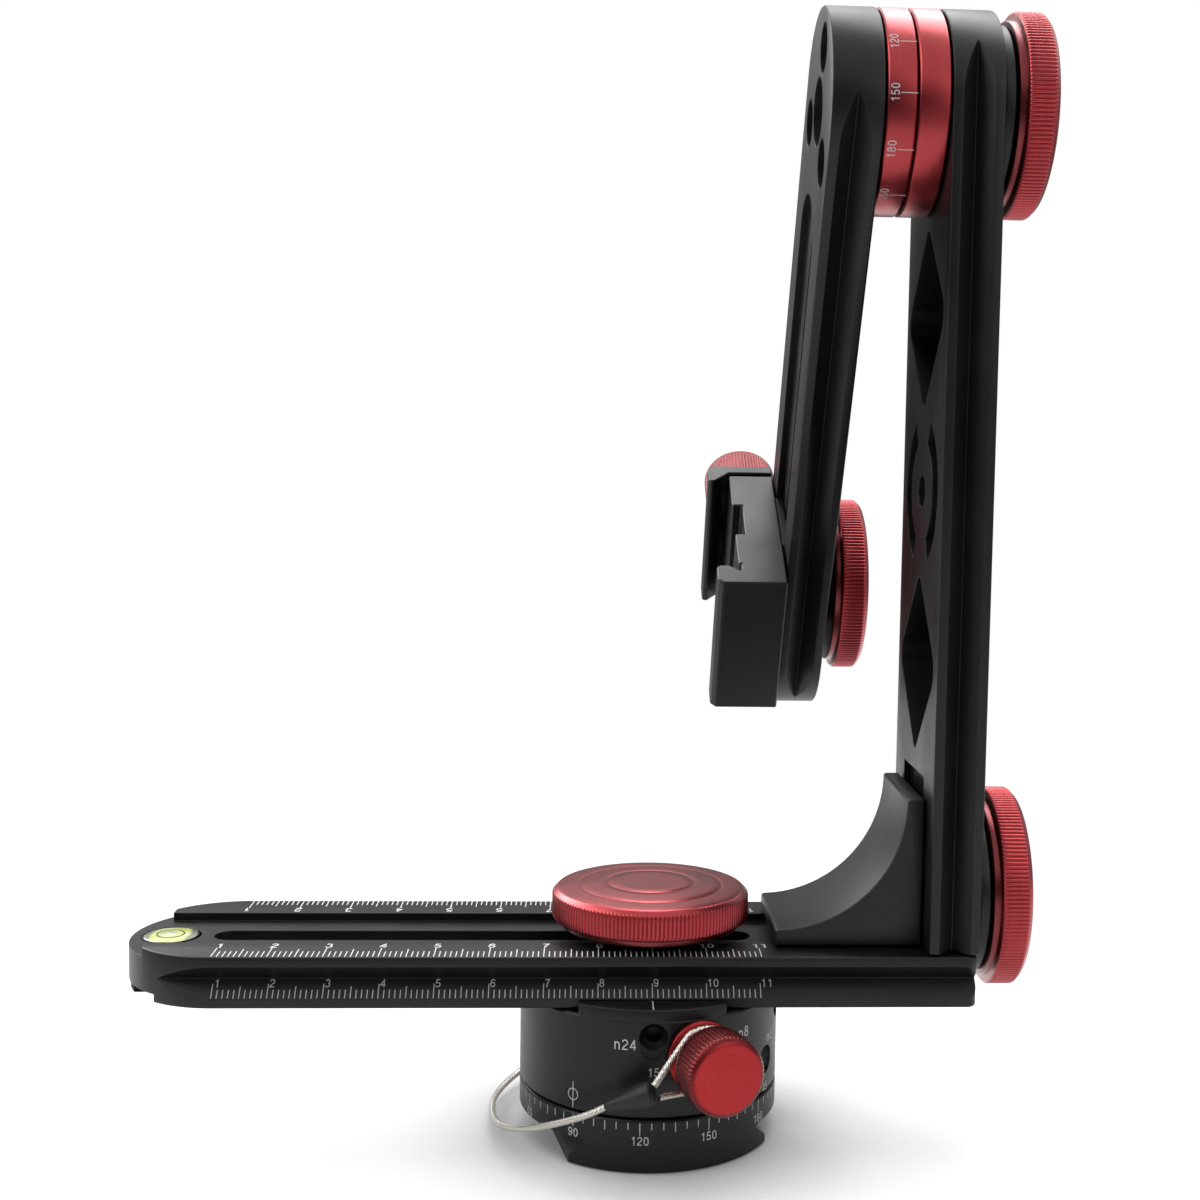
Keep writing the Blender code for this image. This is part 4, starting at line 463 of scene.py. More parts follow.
def block(low, high):
    return prism([(low[0], low[1]), (high[0], low[1]), (high[0], high[1]), (low[0], high[1])], low[2], high[2])


def arc(centre, radius, start, end, steps):
    return [(centre[0] + radius * cos(start + (end - start) * i / steps),
             centre[1] + radius * sin(start + (end - start) * i / steps)) for i in range(steps + 1)]


def stadium(first, second, radius, steps=24):
    heading = atan2(second[1] - first[1], second[0] - first[0])
    return (arc(second, radius, heading - TURN / 4, heading + TURN / 4, steps)
            + arc(first, radius, heading + TURN / 4, heading + 3 * TURN / 4, steps))


def bevelled(mesh, width, segments=2):
    """Rounds the mesh's own sharp edges."""
    bm = opened(mesh)
    edges = [e for e in bm.edges if len(e.link_faces) == 2 and e.calc_face_angle(0) > radians(30)]
    bmesh.ops.bevel(bm, geom=edges, offset=width, offset_type="OFFSET", segments=segments, profile=0.5,
                    affect="EDGES", clamp_overlap=True)
    return finished(bm, mesh)


def drill(radius, low, high, sides=48, spot=ORIGIN, way=ORIGIN):
    return prism(arc((0, 0), radius, 0, TURN * (1 - 1 / sides), sides - 1), low, high), spot, way


def carve(mesh, cuts):
    """The mesh after each cutter in turn: a mesh alone, or with its place, its rotation and the operation."""
    target = linked("carve", mesh)
    helpers = []
    for cut in cuts:
        given = cut if isinstance(cut, tuple) else (cut,)
        cutter, spot, way, operation = given + (None, ORIGIN, ORIGIN, "DIFFERENCE")[len(given):]
        helper = linked("cutter", cutter)
        helper.location, helper.rotation_euler = spot, way
        change = target.modifiers.new("cut", "BOOLEAN")
        change.object, change.solver, change.operation = helper, "EXACT", operation
        helpers.append(helper)
    bpy.context.view_layer.update()
    result = bpy.data.meshes.new_from_object(target.evaluated_get(bpy.context.evaluated_depsgraph_get()))
    for helper in [*helpers, target]:
        bpy.data.objects.remove(helper)
    return result


def joined(mesh):
    """The cut that adds a mesh instead."""
    return mesh, ORIGIN, ORIGIN, "UNION"


def at(spot=ORIGIN, way=ORIGIN):
    return Matrix.Translation(spot) @ Euler(way).to_matrix().to_4x4()


ALONG_X, ALONG_Y = (0, TURN / 4, 0), (-TURN / 4, 0, 0)


def radial(turn, height):
    return (0, 0, height), (TURN / 4, 0, turn)


# -------- places and sizes, as in the CAD model

DRUM, BASE_TOP, BODY_LOW, BODY_TOP, CAVITY = 0.0249, 0.0100, 0.0103, 0.0285, 0.0172
SPIGOT_IN, SPIGOT_OUT = 0.0182, 0.0228  # the ring-shaped step between foot and drum
FOOT_TURN = radians(12.5)
KNOB_TURN, KNOB_HEIGHT = radians(19.6), 0.0220
BUTTON_HEIGHT = 0.0150
HOLES = ((radians(0.3), 0.0253), (radians(61), 0.0166), (radians(78), 0.0253))
RAIL_LOW, RAIL_TOP, HALF = 0.0288, 0.0384, 0.0190
RAIL_ROUND_X, RAIL_END = -0.0800, 0.0603
CHANNEL, CHANNEL_DEPTH, SLOT, GROOVE, RIM_EDGE = 0.00975, 0.0016, 0.0031, 0.0030, 0.00045
STUD, BORE = 0.0028, 0.0053
BRACKET_SCREWS = {"bracket_screw_left": 0.0300, "bracket_screw_right": 0.0430}
BRACKET_HEEL, BRACKET_SINK = 0.0230, 0.0040
TILT_Z, SWING = 0.1949, radians(31.46)
UP_LEFT, UP_RIGHT, ARM_LEFT, ARM_RIGHT = 0.0510, 0.0606, 0.0293, 0.0389
ARM_LENGTH, CLAMP_CENTRE, ARM_SINK = 0.1195, 0.1093, 0.0066
SCREW_CIRCLE = 0.0120
ARM_SCREWS = {"arm_screw_top": TURN / 2, "arm_screw_back": TURN / 6, "arm_screw_front": -TURN / 6}
RING, SPLIT = 0.0190, 0.0448
TILT = at((0, 0, TILT_Z), (SWING, 0, 0))
CLAMP = TILT @ at((0, 0, -CLAMP_CENTRE))
LOWER_Z = RAIL_TOP + 0.0088

# -------- lanyard

WIRE_RADIUS = 0.00065
NECK_START, NECK_LENGTH, NECK_RADIUS = DRUM + 0.0005, 0.0013, 0.0046
WIRE_POINTS = (
    (-0.0086, -0.0288, 0.0142), (-0.0130, -0.0284, 0.0122), (-0.0202, -0.0243, 0.0088),
    (-0.0250, -0.0182, 0.0060), (-0.0283, -0.0110, 0.0038), (-0.0300, -0.0030, 0.0026),
    (-0.0302, 0.0050, 0.0023), (-0.0282, 0.0130, 0.0024), (-0.0240, 0.0205, 0.0032),
    (-0.0180, 0.0262, 0.0052), (-0.0110, 0.0292, 0.0082), (-0.0060, 0.0292, 0.0118),
    (-0.0040, 0.0278, 0.0150),
)
SLEEVE_START, SLEEVE_END = Vector((-0.0082, -0.0289, 0.0144)), Vector((0.0010, -0.0310, 0.0180))
SLEEVE_RADIUS, SLEEVE_SHARE = 0.0024, 0.88  # the share of its CAD length, so that the noose shows at its mouth


def catmull_rom(before, first, second, after, share):
    square, cube = share ** 2, share ** 3
    return (first * 2 + (second - before) * share + (before * 2 - first * 5 + second * 4 - after) * square
            + (first * 3 - before - second * 3 + after) * cube) / 2


def smooth_route(points, spacing):
    points = [Vector(p) for p in points]
    fine = []
    for i in range(len(points) - 1):
        before, after = points[max(i - 1, 0)], points[min(i + 2, len(points) - 1)]
        fine += [catmull_rom(before, points[i], points[i + 1], after, step / 14) for step in range(14)]
    fine.append(points[-1])
    lengths = [0.0]
    for first, second in zip(fine, fine[1:]):
        lengths.append(lengths[-1] + (second - first).length)
    count = max(2, round(lengths[-1] / spacing))
    route = []
    for i in range(count + 1):
        wanted = lengths[-1] * i / count
        upper = next(k for k, length in enumerate(lengths) if length >= wanted - 1e-6)
        lower = max(upper - 1, 0)
        run = lengths[upper] - lengths[lower]
        route.append(fine[lower].lerp(fine[upper], (wanted - lengths[lower]) / run if run else 0))
    return route, lengths[-1]


def rope(route, radius, strands=6, lay_length=0.0068, around=36):
    """A laid rope's mesh: round strands that turn about the route, with the lay kept for the material."""
    tangents = [(route[min(i + 1, len(route) - 1)] - route[max(i - 1, 0)]).normalized() for i in range(len(route))]
    side = tangents[0].orthogonal().normalized()
    points, lay, run = [], [], 0.0
    for i, (spot, tangent) in enumerate(zip(route, tangents)):
        side = (side - tangent * side.dot(tangent)).normalized()
        over = tangent.cross(side)
        run += (spot - route[i - 1]).length if i else 0
        twist = TURN * run / lay_length
        for k in range(around):
            turn = TURN * k / around
            phase = (turn - twist) * strands
            reach = radius * (0.86 + 0.14 * abs(cos(phase / 2)) ** 0.8)
            points.append(spot + (side * cos(turn) + over * sin(turn)) * reach)
            lay.append((turn * strands * 1.5 + TURN * run / lay_length * 9) / TURN)
    faces = []
    for i in range(len(route) - 1):
        for k in range(around):
            j = (k + 1) % around
            a, b = i * around, (i + 1) * around
            faces.append((a + k, a + j, b + j, b + k))
    faces.append(tuple(range(around))[::-1])
    faces.append(tuple(range((len(route) - 1) * around, len(route) * around)))
    mesh = bpy.data.meshes.new("rope")
    mesh.from_pydata([tuple(p) for p in points], [], faces)
    mesh.attributes.new("lay", "FLOAT", "POINT").data.foreach_set("value", lay)
    return outward(mesh)


def build_lanyard():
    route, length = smooth_route(WIRE_POINTS, 0.00035)
    wire = piece("lanyard_rope", rope(route, WIRE_RADIUS), WIRE, "turntable",
                 replaces=["lanyard_wire"], angle=60)
    axis = (SLEEVE_END - SLEEVE_START) * SLEEVE_SHARE
    long = axis.length
    profile = soften([(0, 0), (0.0011, 0), (0.0012, long * 0.12), (0.0019, long * 0.50), (SLEEVE_RADIUS, long * 0.74),
                      (SLEEVE_RADIUS, long - 0.0003), (SLEEVE_RADIUS - 0.0006, long), (0, long)], 0.0003)
    mesh = lathe(profile, 48, lambda r, z, turns: r * (0.86 + 0.14 * np.abs(np.cos(turns)) ** 0.7
                                                                 + 0.03 * np.sin(turns * 3 + z * 900)))
    place = Matrix.Translation(SLEEVE_START) @ axis.to_track_quat("Z", "Y").to_matrix().to_4x4()
    sleeve = piece("shrink_sleeve", mesh, SLEEVE, "index_pin", place, ["lanyard_sleeve"])
    out = Vector((sin(KNOB_TURN), -cos(KNOB_TURN), 0))
    across = Vector((cos(KNOB_TURN), sin(KNOB_TURN), 0))
    up = Vector((0, 0, 1))
    middle = out * (NECK_START + NECK_LENGTH + 0.00115) + up * KNOB_HEIGHT
    way = axis.normalized()
    mouth = SLEEVE_START + axis + way * WIRE_RADIUS
    beside = way.cross(out).normalized() * SLEEVE_RADIUS * 0.5
    if beside.z < 0:
        beside = -beside
    first, last, steps = radians(262), radians(492), 14
    ring = [middle + (across * cos(a) + up * sin(a)) * (NECK_RADIUS + WIRE_RADIUS + GAP)
            for a in (first + (last - first) * i / steps for i in range(steps + 1))]
    loop_route, loop_length = smooth_route([mouth - beside, *ring, mouth + beside], 0.00030)
    loop = piece("lanyard_noose", rope(loop_route, WIRE_RADIUS), WIRE, "index_pin",
                 replaces=["lanyard_loop"], angle=60)
    screw = soften([(0, 0.0192), (0.0015, 0.0192), (0.0015, 0.0252), (0.0030, 0.0252), (0.0030, 0.0271),
                    (0.0024, 0.0276), (0, 0.0276)], 0.0002)
    mesh = carve(lathe(screw, 64), [hexagon(0.0011, 0.0262, 0.0290)])
    piece("lanyard_button", mesh, OXIDE, "turntable", at(*radial(TURN / 2, BUTTON_HEIGHT)), ["lanyard_screw"])


# -------- pan base, drum and knobs


def build_base():
    profile = soften([(0.0093, 0.0053), (0.0093, 0.0), (DRUM - EDGE, 0.0), (DRUM, EDGE), (DRUM, BASE_TOP - EDGE),
                      (DRUM - EDGE, BASE_TOP), (SPIGOT_OUT, BASE_TOP), (SPIGOT_OUT, 0.0089), (SPIGOT_IN, 0.0089),
                      (SPIGOT_IN, BASE_TOP), (BORE, BASE_TOP), (BORE, 0.0053)], 0.00025)
    out = DRUM + OVER
    flank = [(HALF, -OVER), (HALF, 0.0018), (HALF - 0.0027, 0.0045), (HALF - 0.0020, 0.0052), (out, 0.0052),
             (out, -OVER)]
    cuts = [(prism(flank, -out, out, "XZ"), ORIGIN, (0, 0, turn)) for turn in (FOOT_TURN, FOOT_TURN + TURN / 2)]
    mesh = carve(lathe(profile, 192, closed=True), cuts)
    piece("pan_base_shell", mesh, BLACK, "base", replaces=["pan_base"])


def build_drum():
    profile = soften([(BORE, 0.0169), (BORE, 0.0123), (0.0106, 0.0123), (0.0106, 0.0246), (CAVITY, 0.0246),
                      (CAVITY, BODY_LOW), (SPIGOT_IN, BODY_LOW), (SPIGOT_IN, 0.0107), (SPIGOT_OUT, 0.0107),
                      (SPIGOT_OUT, BODY_LOW), (DRUM - EDGE, BODY_LOW), (DRUM, BODY_LOW + EDGE),
                      (DRUM, BODY_TOP - EDGE), (DRUM - EDGE, BODY_TOP), (0.0090, BODY_TOP), (0.0090, 0.0169)], 0.00025)
    out, cheek_radius, pin = DRUM + OVER, 0.0248, 0.0014
    cuts = []
    spread = asin(0.0135 / cheek_radius)
    for middle in (-TURN / 4, TURN / 4):
        inner = copysign(1, middle) * (HALF + GAP)
        outline = arc((0, 0), cheek_radius, middle - spread, middle + spread, 48)
        outline += [(outline[-1][0], inner), (outline[0][0], inner)]
        cuts.append(joined(bevelled(prism(outline, 0.0265, BODY_TOP + 0.0019), 0.00025)))
    sink = [(0, 0.0228), (pin, 0.0229), (0.0024, DRUM - 0.0010), (0.00265, DRUM - 0.0002), (0.0028, out), (0, out)]
    for hole in HOLES:
        cuts += [(lathe(sink, 64), *radial(*hole)), drill(pin, DRUM - 0.0050, out, 48, *radial(*hole))]
    turn, height = HOLES[0]  # the first hole has a shallow upright pocket under it
    relief = stadium((0, height - 0.0043 + 0.0023), (0, height), 0.0023)
    cuts += [
        (prism(relief, -DRUM - OVER, -DRUM + 0.0006, "XZ"), ORIGIN, (0, 0, turn)),
        drill(0.0035, 0.0152, out, 48, *radial(KNOB_TURN, KNOB_HEIGHT)),
        drill(0.0018, DRUM - 0.0060, out, 32, *radial(TURN / 2, BUTTON_HEIGHT)),
    ]
    mesh = carve(lathe(profile, 192, closed=True), cuts)
    piece("rotator_drum", mesh, BLACK, "turntable", replaces=["rotator_body"])


def knurl(outer, depth, count, low, high, sharp=0.75):
    """Straight teeth between two heights, cut no deeper than depth under the outer radius."""
    def shape(r, z, turns):
        if not low <= z <= high:
            return np.full(len(turns), r)
        groove = np.abs(np.sin(turns * count / 2)) ** sharp
        return np.minimum(r, outer - depth * (1 - groove))
    return shape


def turned(name, profile, sides, look, body, matrix, replaces=(), shape=None, closed=False, angle=28):
    return piece(name, lathe(profile, sides, shape, closed), look, body, matrix, replaces, angle)


def level_rows(low, high, steps):
    return [low + (high - low) * i / steps for i in range(steps + 1)]


def build_grip(name, body, matrix, node):
    """One of the four large knobs: smooth back flange, toothed rim with softened ends and a shallow turned crown."""
    r, low, high, teeth = 0.0190, 0.0013, 0.0062, 150
    crown = lambda x: high + 0.0010 + 0.0008 * (0.0180 - x) / 0.0097
    profile = [(0.0031, 0.0060), (0.0031, 0.0), (0.0170, 0.0), (0.0172, 0.00005), (0.0173, 0.00025), (0.0173, 0.00120),
               (0.01745, 0.00130), (0.01835, 0.00135)]
    profile += [(r - 0.00045 * cos(a), low + 0.00045 - 0.00040 * cos(a) * 0.9) for a in (0.3, 0.7, 1.1)]
    profile += [(r, z) for z in level_rows(low + 0.0006, high - 0.0002, 4)]
    profile += [(x, high + rise) for x, rise in (
        (r - 0.00012, 0.00006), (r - 0.0003, 0.00022), (r - 0.0006, 0.00050), (r - 0.00085, 0.00076),
        (0.0179, 0.00094), (0.0176, 0.00103))]
    profile += [(x, crown(near) + rise) for x, near, rise in (
        (0.0160, 0.0160, 0), (0.0146, 0.0146, 0), (0.01398, 0.01398, 0), (0.01382, 0.0138, -0.00004),
        (0.01370, 0.0137, -0.00009), (0.01358, 0.0136, -0.00004), (0.01350, 0.0135, 0), (0.0120, 0.0120, 0),
        (0.0100, 0.0100, 0), (0.00856, 0.00856, 0), (0.00842, 0.0084, -0.00006), (0.00830, 0.0083, -0.00012),
        (0.00818, 0.0083, -0.00006), (0.00808, 0.0083, 0), (0.0060, 0.0083, 0.00001), (0.0030, 0.0083, 0.00001),
        (0.0010, 0.0083, 0.00001), (0, 0.0083, 0.00001))]
    turned(name, profile, teeth * 8, RED_GRIP, body, matrix, [node],
           knurl(r, 0.00034, teeth, low - 0.0001, high + 0.0008), angle=50)


def build_grips():
    outside = 0.0634
    build_grip("rail_grip_knurled", "rail_grip", at((0, 0, 0.0396)), "rail_knob")
    build_grip("lower_grip_knurled", "lower_grip", at((outside, 0, LOWER_Z), ALONG_X), "lower_knob")
    build_grip("tilt_grip_knurled", "tilt_grip", at((outside, 0, TILT_Z), ALONG_X), "tilt_knob")
    build_grip("arm_grip_knurled", "arm_grip", at(CLAMP @ Vector((0.0407, 0, 0)), ALONG_X), "arm_knob")


def build_collars():
    wide, narrow, snug, outside = 0.0165, 0.0094, STUD + GAP, UP_RIGHT + GAP
    for name, radius, hole, thickness, body, matrix, node in (
        ("rail_washer", narrow, snug, 0.0022, "turntable", at((0, 0, RAIL_TOP - CHANNEL_DEPTH + GAP)), "rail_collar"),
        ("lower_washer", wide, snug, 0.0022, "rail_frame", at((outside, 0, LOWER_Z), ALONG_X), "lower_collar"),
        ("tilt_washer", wide, BORE, 0.0022, "rail_frame", at((outside, 0, TILT_Z), ALONG_X), "tilt_collar"),
        ("arm_washer", narrow, snug, 0.0028, "clamp",
         at(CLAMP @ Vector((ARM_RIGHT - CHANNEL_DEPTH + GAP, 0, 0)), ALONG_X), "arm_collar"),
    ):
        profile = soften([(hole, 0), (radius - 0.0003, 0), (radius, 0.0003), (radius, thickness - 0.0003),
                          (radius - 0.0003, thickness), (hole, thickness), (hole, 0)], 0.0002)[:-1]
        turned(name, profile, 128, BLACK_TURNED, body, matrix, [node], closed=True)


def settled(mesh, matrix):
    """The mesh moved into place, with its own coordinates kept for its material."""
    own = mesh.attributes.new("own", "FLOAT_VECTOR", "POINT")
    own.data.foreach_set("vector", [c for vertex in mesh.vertices for c in vertex.co])
    mesh.transform(matrix)
    return mesh


def build_index_knob():
    start = NECK_START
    neck, head, end = start + NECK_LENGTH, start + 0.0036, start + 0.0128
    r, rim, cone, thread, teeth = 0.0073, 0.0065, 0.0052, 0.0032, 58
    profile = [(0.0018, DRUM - 0.0066), (thread, DRUM - 0.0066), (thread, start), (rim - 0.0004, start),
               (rim - 0.0001, start + 0.0001), (rim, start + 0.0003), (rim, neck - 0.0003),
               (rim - 0.0001, neck - 0.0001), (rim - 0.0004, neck), (0.0049, neck), (NECK_RADIUS, neck + 0.0003),
               (NECK_RADIUS, head - 0.0002), (0.0048, head)]
    profile += [(cone + (r - cone) * sin(a), head + 0.0036 * (1 - cos(a)))
                for a in (TURN / 4 * k / 8 for k in range(1, 9))]
    profile += [(r, z) for z in level_rows(head + 0.0044, end - 0.0011, 3)]
    profile += [(r - 0.00005, end - 0.0009), (r - 0.0003, end - 0.00052), (r - 0.0007, end - 0.00018),
                (r - 0.0012, end - 0.00004), (r - 0.0016, end)]
    profile += [(0.0048, end), (0.0046, end - 0.00004), (0.0044, end), (0.0030, end), (0.0028, end - 0.00004),
                (0.0026, end), (0.0010, end), (0, end)]
    straight = knurl(r, 0.00026, teeth, head + 0.0030, end - 0.0005)

    def shape(r_here, z, turns):
        """The teeth run out on the rounded back of the head."""
        if head < z < head + 0.0034:
            return r_here - 0.00022 * (1 - np.abs(np.sin(turns * (teeth // 2))) ** 0.75)
        return straight(r_here, z, turns)

    mesh = settled(lathe(profile, teeth * 8, shape), at(*radial(KNOB_TURN, KNOB_HEIGHT)))
    piece("index_grip_knurled", mesh, RED_OWN, "index_grip", replaces=["index_knob"], angle=50)


def build_clamp_knob():
    face = 0.0192 + 0.0030 + GAP
    body, end = face + 0.0065, face + 0.0065 + 0.0147
    r, crest, root, pitch, teeth = 0.0086, 0.0022, 0.00192, 0.00035, 68
    profile = [(0, 0.0066), (0.0018, 0.0066), (crest, 0.0070)]
    for z in np.arange(0.0074, 0.0176, pitch):
        profile += [(crest, z), (root, z + pitch / 2)]
    profile += [(crest, 0.0180), (crest, face), (0.0047, face), (0.0050, face + 0.0003), (0.0050, body - 0.0002),
                (0.0053, body), (r - 0.0007, body), (r - 0.00035, body + 0.0001), (r - 0.0001, body + 0.0003),
                (r, body + 0.0006), (r, end - 0.0009), (r - 0.0001, end - 0.0006), (r - 0.0004, end - 0.00025),
                (r - 0.0009, end - 0.00004), (r - 0.0013, end), (0.0060, end), (0.0058, end - 0.0003),
                (0.0040, end - 0.0003), (0.0010, end - 0.0003), (0, end - 0.0003)]
    mesh = lathe(profile, teeth * 8, knurl(r, 0.00030, teeth, body, end - 0.0002))
    mesh = settled(mesh, CLAMP @ at((0.0290 - 0.0050, 0, 0), ALONG_Y))
    piece("jaw_grip_knurled", mesh, RED_OWN, "jaw_grip", replaces=["clamp_knob"], angle=50)


# -------- rails


def v_grooves(mid, low, high, plane):
    """The cutters of the grooves along both edges of a rail."""
    cutters = []
    reach = GROOVE + OVER
    for edge, heading in ((-HALF, -1), (HALF, 1)):
        lip = edge + heading * OVER
        outline = [(edge - heading * GROOVE, mid), (lip, mid + reach), (lip, mid - reach)]
        cutters.append(prism([p[::-1] for p in outline] if plane == "XY" else outline, low, high, plane))
    return cutters


def build_rail():
    left, far, wide = RAIL_ROUND_X - HALF - OVER, RAIL_END + OVER, HALF + OVER
    floor, roof, under, over = RAIL_TOP - CHANNEL_DEPTH, RAIL_LOW + CHANNEL_DEPTH, RAIL_LOW - OVER, RAIL_TOP + OVER
    corner = 0.0020
    outline = arc((RAIL_ROUND_X, 0), HALF, TURN / 4, 3 * TURN / 4, 96)
    outline += arc((RAIL_END - corner, corner - HALF), corner, -TURN / 4, 0, 12)
    outline += arc((RAIL_END - corner, HALF - corner), corner, 0, TURN / 4, 12)
    mesh = bevelled(prism(outline, RAIL_LOW, RAIL_TOP), RIM_EDGE, 3)
    cuts = v_grooves((RAIL_LOW + RAIL_TOP) / 2, left, far, "YZ") + [
        block((left, -CHANNEL, floor), (far, CHANNEL, over)),
        block((left, -CHANNEL, under), (far, CHANNEL, roof)),
        block((left, -wide, floor), (-0.0937, wide, over)),
        block((left, -wide, under), (-0.0910, wide, roof)),
        prism(stadium((-0.0804, 0), (0.0164, 0), SLOT), under, over),
        drill(0.0056, floor - 0.0048, over, 96, (-0.0916, 0, 0)),
    ]
    for x in BRACKET_SCREWS.values():
        cuts += [drill(0.0023, under, over, 32, (x, 0, 0)),
                 drill(0.0039, under, RAIL_LOW + BRACKET_SINK, 48, (x, 0, 0))]
    piece("rail_body", carve(mesh, cuts), BLACK, "rail_frame", replaces=["rail"])


def screw_reach(x):
    """How far a bracket screw stands out of its seat under the sloping casting."""
    return 0.0045 + 0.0032 * (x - BRACKET_HEEL) / 0.0280


def build_bracket():
    low, right, half = RAIL_TOP + GAP, UP_LEFT - GAP, 0.0133
    top = low + 0.0280
    toe, heel = (BRACKET_HEEL, low + 0.0032), (right - 0.0033, top)
    run, rise = heel[0] - toe[0], heel[1] - toe[1]
    radius = max((run ** 2 + rise ** 2) / (2 * rise), run)
    chord = hypot(run, rise)
    sag = sqrt(radius ** 2 - chord ** 2 / 4)
    centre = ((heel[0] + toe[0]) / 2 - rise / chord * sag, (heel[1] + toe[1]) / 2 + run / chord * sag)
    first, last = (atan2(end[1] - centre[1], end[0] - centre[0]) for end in (heel, toe))
    outline = [(BRACKET_HEEL, low), (right, low), (right, top), heel] + arc(centre, radius, first, last, 64)[1:]
    mesh = bevelled(prism(outline, -half, half, "XZ"), 0.0006, 3)
    key, depth = CHANNEL - GAP, CHANNEL_DEPTH - GAP
    cuts = [
        joined(block((0.0236, -key, low - GAP - depth), (right - 0.0006, key, low + 0.0016))),
        joined(block((right - 0.00165, -key, low + 0.0006), (right + GAP + depth, key, top - 0.0032))),
        drill(STUD + GAP, right - 0.0088, right + OVER + CHANNEL_DEPTH, 48, (0, 0, LOWER_Z), ALONG_X),
    ]
    for x in BRACKET_SCREWS.values():
        cuts.append(drill(0.0023, RAIL_LOW, RAIL_LOW + BRACKET_SINK + screw_reach(x) + GAP, 32, (x, 0, 0)))
    piece("bracket_body", carve(mesh, cuts), BLACK_CAST, "rail_frame", replaces=["corner_bracket"])


def diamond(centre):
    """A square on its corner, with rounder corners at the sides than at the ends."""
    half_length, half_width = 0.01746, 0.01749
    heading = atan2(half_length, half_width)
    outline = []
    for quarter in range(4):
        direction = TURN / 4 * quarter
        half_angle, radius, reach = ((heading, 0.0020, half_length) if quarter % 2
                                     else (TURN / 4 - heading, 0.0050, half_width))
        inset = reach - radius / cos(half_angle)
        middle = (centre[0] + inset * cos(direction), centre[1] + inset * sin(direction))
        outline += arc(middle, radius, direction - half_angle, direction + half_angle, 16)
    return outline


def build_upright():
    low, motif, spread = RAIL_TOP + GAP, RAIL_TOP + 0.0856, radians(128)
    front, floor, right = UP_LEFT - OVER, UP_LEFT + 0.0070, UP_RIGHT + OVER
    outline = [(-HALF, low), (HALF, low)] + arc((0, TILT_Z), HALF, 0, TURN / 2, 96)
    mesh = bevelled(prism(outline, UP_LEFT, UP_RIGHT, "YZ"), RIM_EDGE, 3)
    cuts = v_grooves((UP_LEFT + UP_RIGHT) / 2, low - OVER, TILT_Z + HALF + OVER, "XY")
    cuts += [prism(diamond((0, RAIL_TOP + height)), front, floor, "YZ") for height in (0.1183, 0.0525)]
    for middle in (0, TURN / 2):
        slot = arc((0, motif), 0.0148, middle - spread / 2, middle + spread / 2, 48)
        slot += arc((0, motif), 0.0098, middle + spread / 2, middle - spread / 2, 48)
        cuts.append(prism(slot, front, floor, "YZ"))
    cuts += [drill(radius, front, right, 48, (0, 0, z), ALONG_X)
             for radius, z in ((0.0032, motif), (BORE, TILT_Z), (STUD + GAP, LOWER_Z))]
    cuts.append(block((front, -CHANNEL, low - OVER), (UP_LEFT + CHANNEL_DEPTH, CHANNEL, RAIL_TOP + 0.0318)))
    for turn in (0, TURN / 3, -TURN / 3):
        spot = (0, SCREW_CIRCLE * sin(turn), TILT_Z + SCREW_CIRCLE * cos(turn))
        cuts += [drill(0.0023, front, right, 32, spot, ALONG_X),
                 drill(0.0040, UP_RIGHT - 0.0025, right, 48, spot, ALONG_X)]
    piece("upright_body", carve(mesh, cuts), BLACK, "rail_frame", replaces=["upright"])


def arm_screw_spot(x, turn):
    return x, SCREW_CIRCLE * sin(turn), -SCREW_CIRCLE * cos(turn)


def build_arm():
    outline = arc((0, 0), HALF, 0, TURN / 2, 96) + arc((0, -ARM_LENGTH), HALF, TURN / 2, TURN, 96)
    mesh = bevelled(prism(outline, ARM_LEFT, ARM_RIGHT, "YZ"), RIM_EDGE, 3)
    bottom, sunk = -ARM_LENGTH - HALF - OVER, ARM_LEFT + ARM_SINK
    front, back = ARM_LEFT - OVER, ARM_RIGHT + OVER
    channel = stadium((0, bottom - HALF), (0, -0.0267), CHANNEL, 48)
    cuts = v_grooves((ARM_LEFT + ARM_RIGHT) / 2, bottom, HALF + OVER, "XY") + [
        prism(channel, front, ARM_LEFT + CHANNEL_DEPTH, "YZ"),
        prism(channel, ARM_RIGHT - CHANNEL_DEPTH, back, "YZ"),
        prism(stadium((0, -0.1100), (0, -0.0275), SLOT), front, back, "YZ"),
        drill(0.0064, front, sunk, 96, ORIGIN, ALONG_X),
        drill(BORE, front, back, 64, ORIGIN, ALONG_X),
    ]
    for turn in ARM_SCREWS.values():
        spot = arm_screw_spot(0, turn)
        cuts += [drill(0.0046, front, sunk, 64, spot, ALONG_X), drill(0.0027, front, back, 32, spot, ALONG_X)]
    mesh = carve(mesh, cuts)
    mesh.transform(TILT)
    piece("camera_arm_body", mesh, BLACK, "arm", replaces=["camera_arm"])


def hexagon(radius, low, high):
    return prism(arc((0, 0), radius, 0, TURN * 5 / 6, 5), low, high)


def socket_screw(node, head_radius, head, shank, reach, body, matrix):
    name = node + "_cap"
    profile = soften([(0, -head), (head_radius - 0.0003, -head), (head_radius, -head + 0.0003), (head_radius, 0),
                      (shank, 0), (shank, reach), (0, reach)], 0.00015)
    teeth = knurl(head_radius, 0.00012, 44, -head + 0.0005, -0.0002)
    mesh = carve(lathe(profile, 176, teeth), [hexagon(head_radius * 0.48, -head - OVER, -head * 0.4)])
    piece(name, mesh, OXIDE, body, matrix, [node])


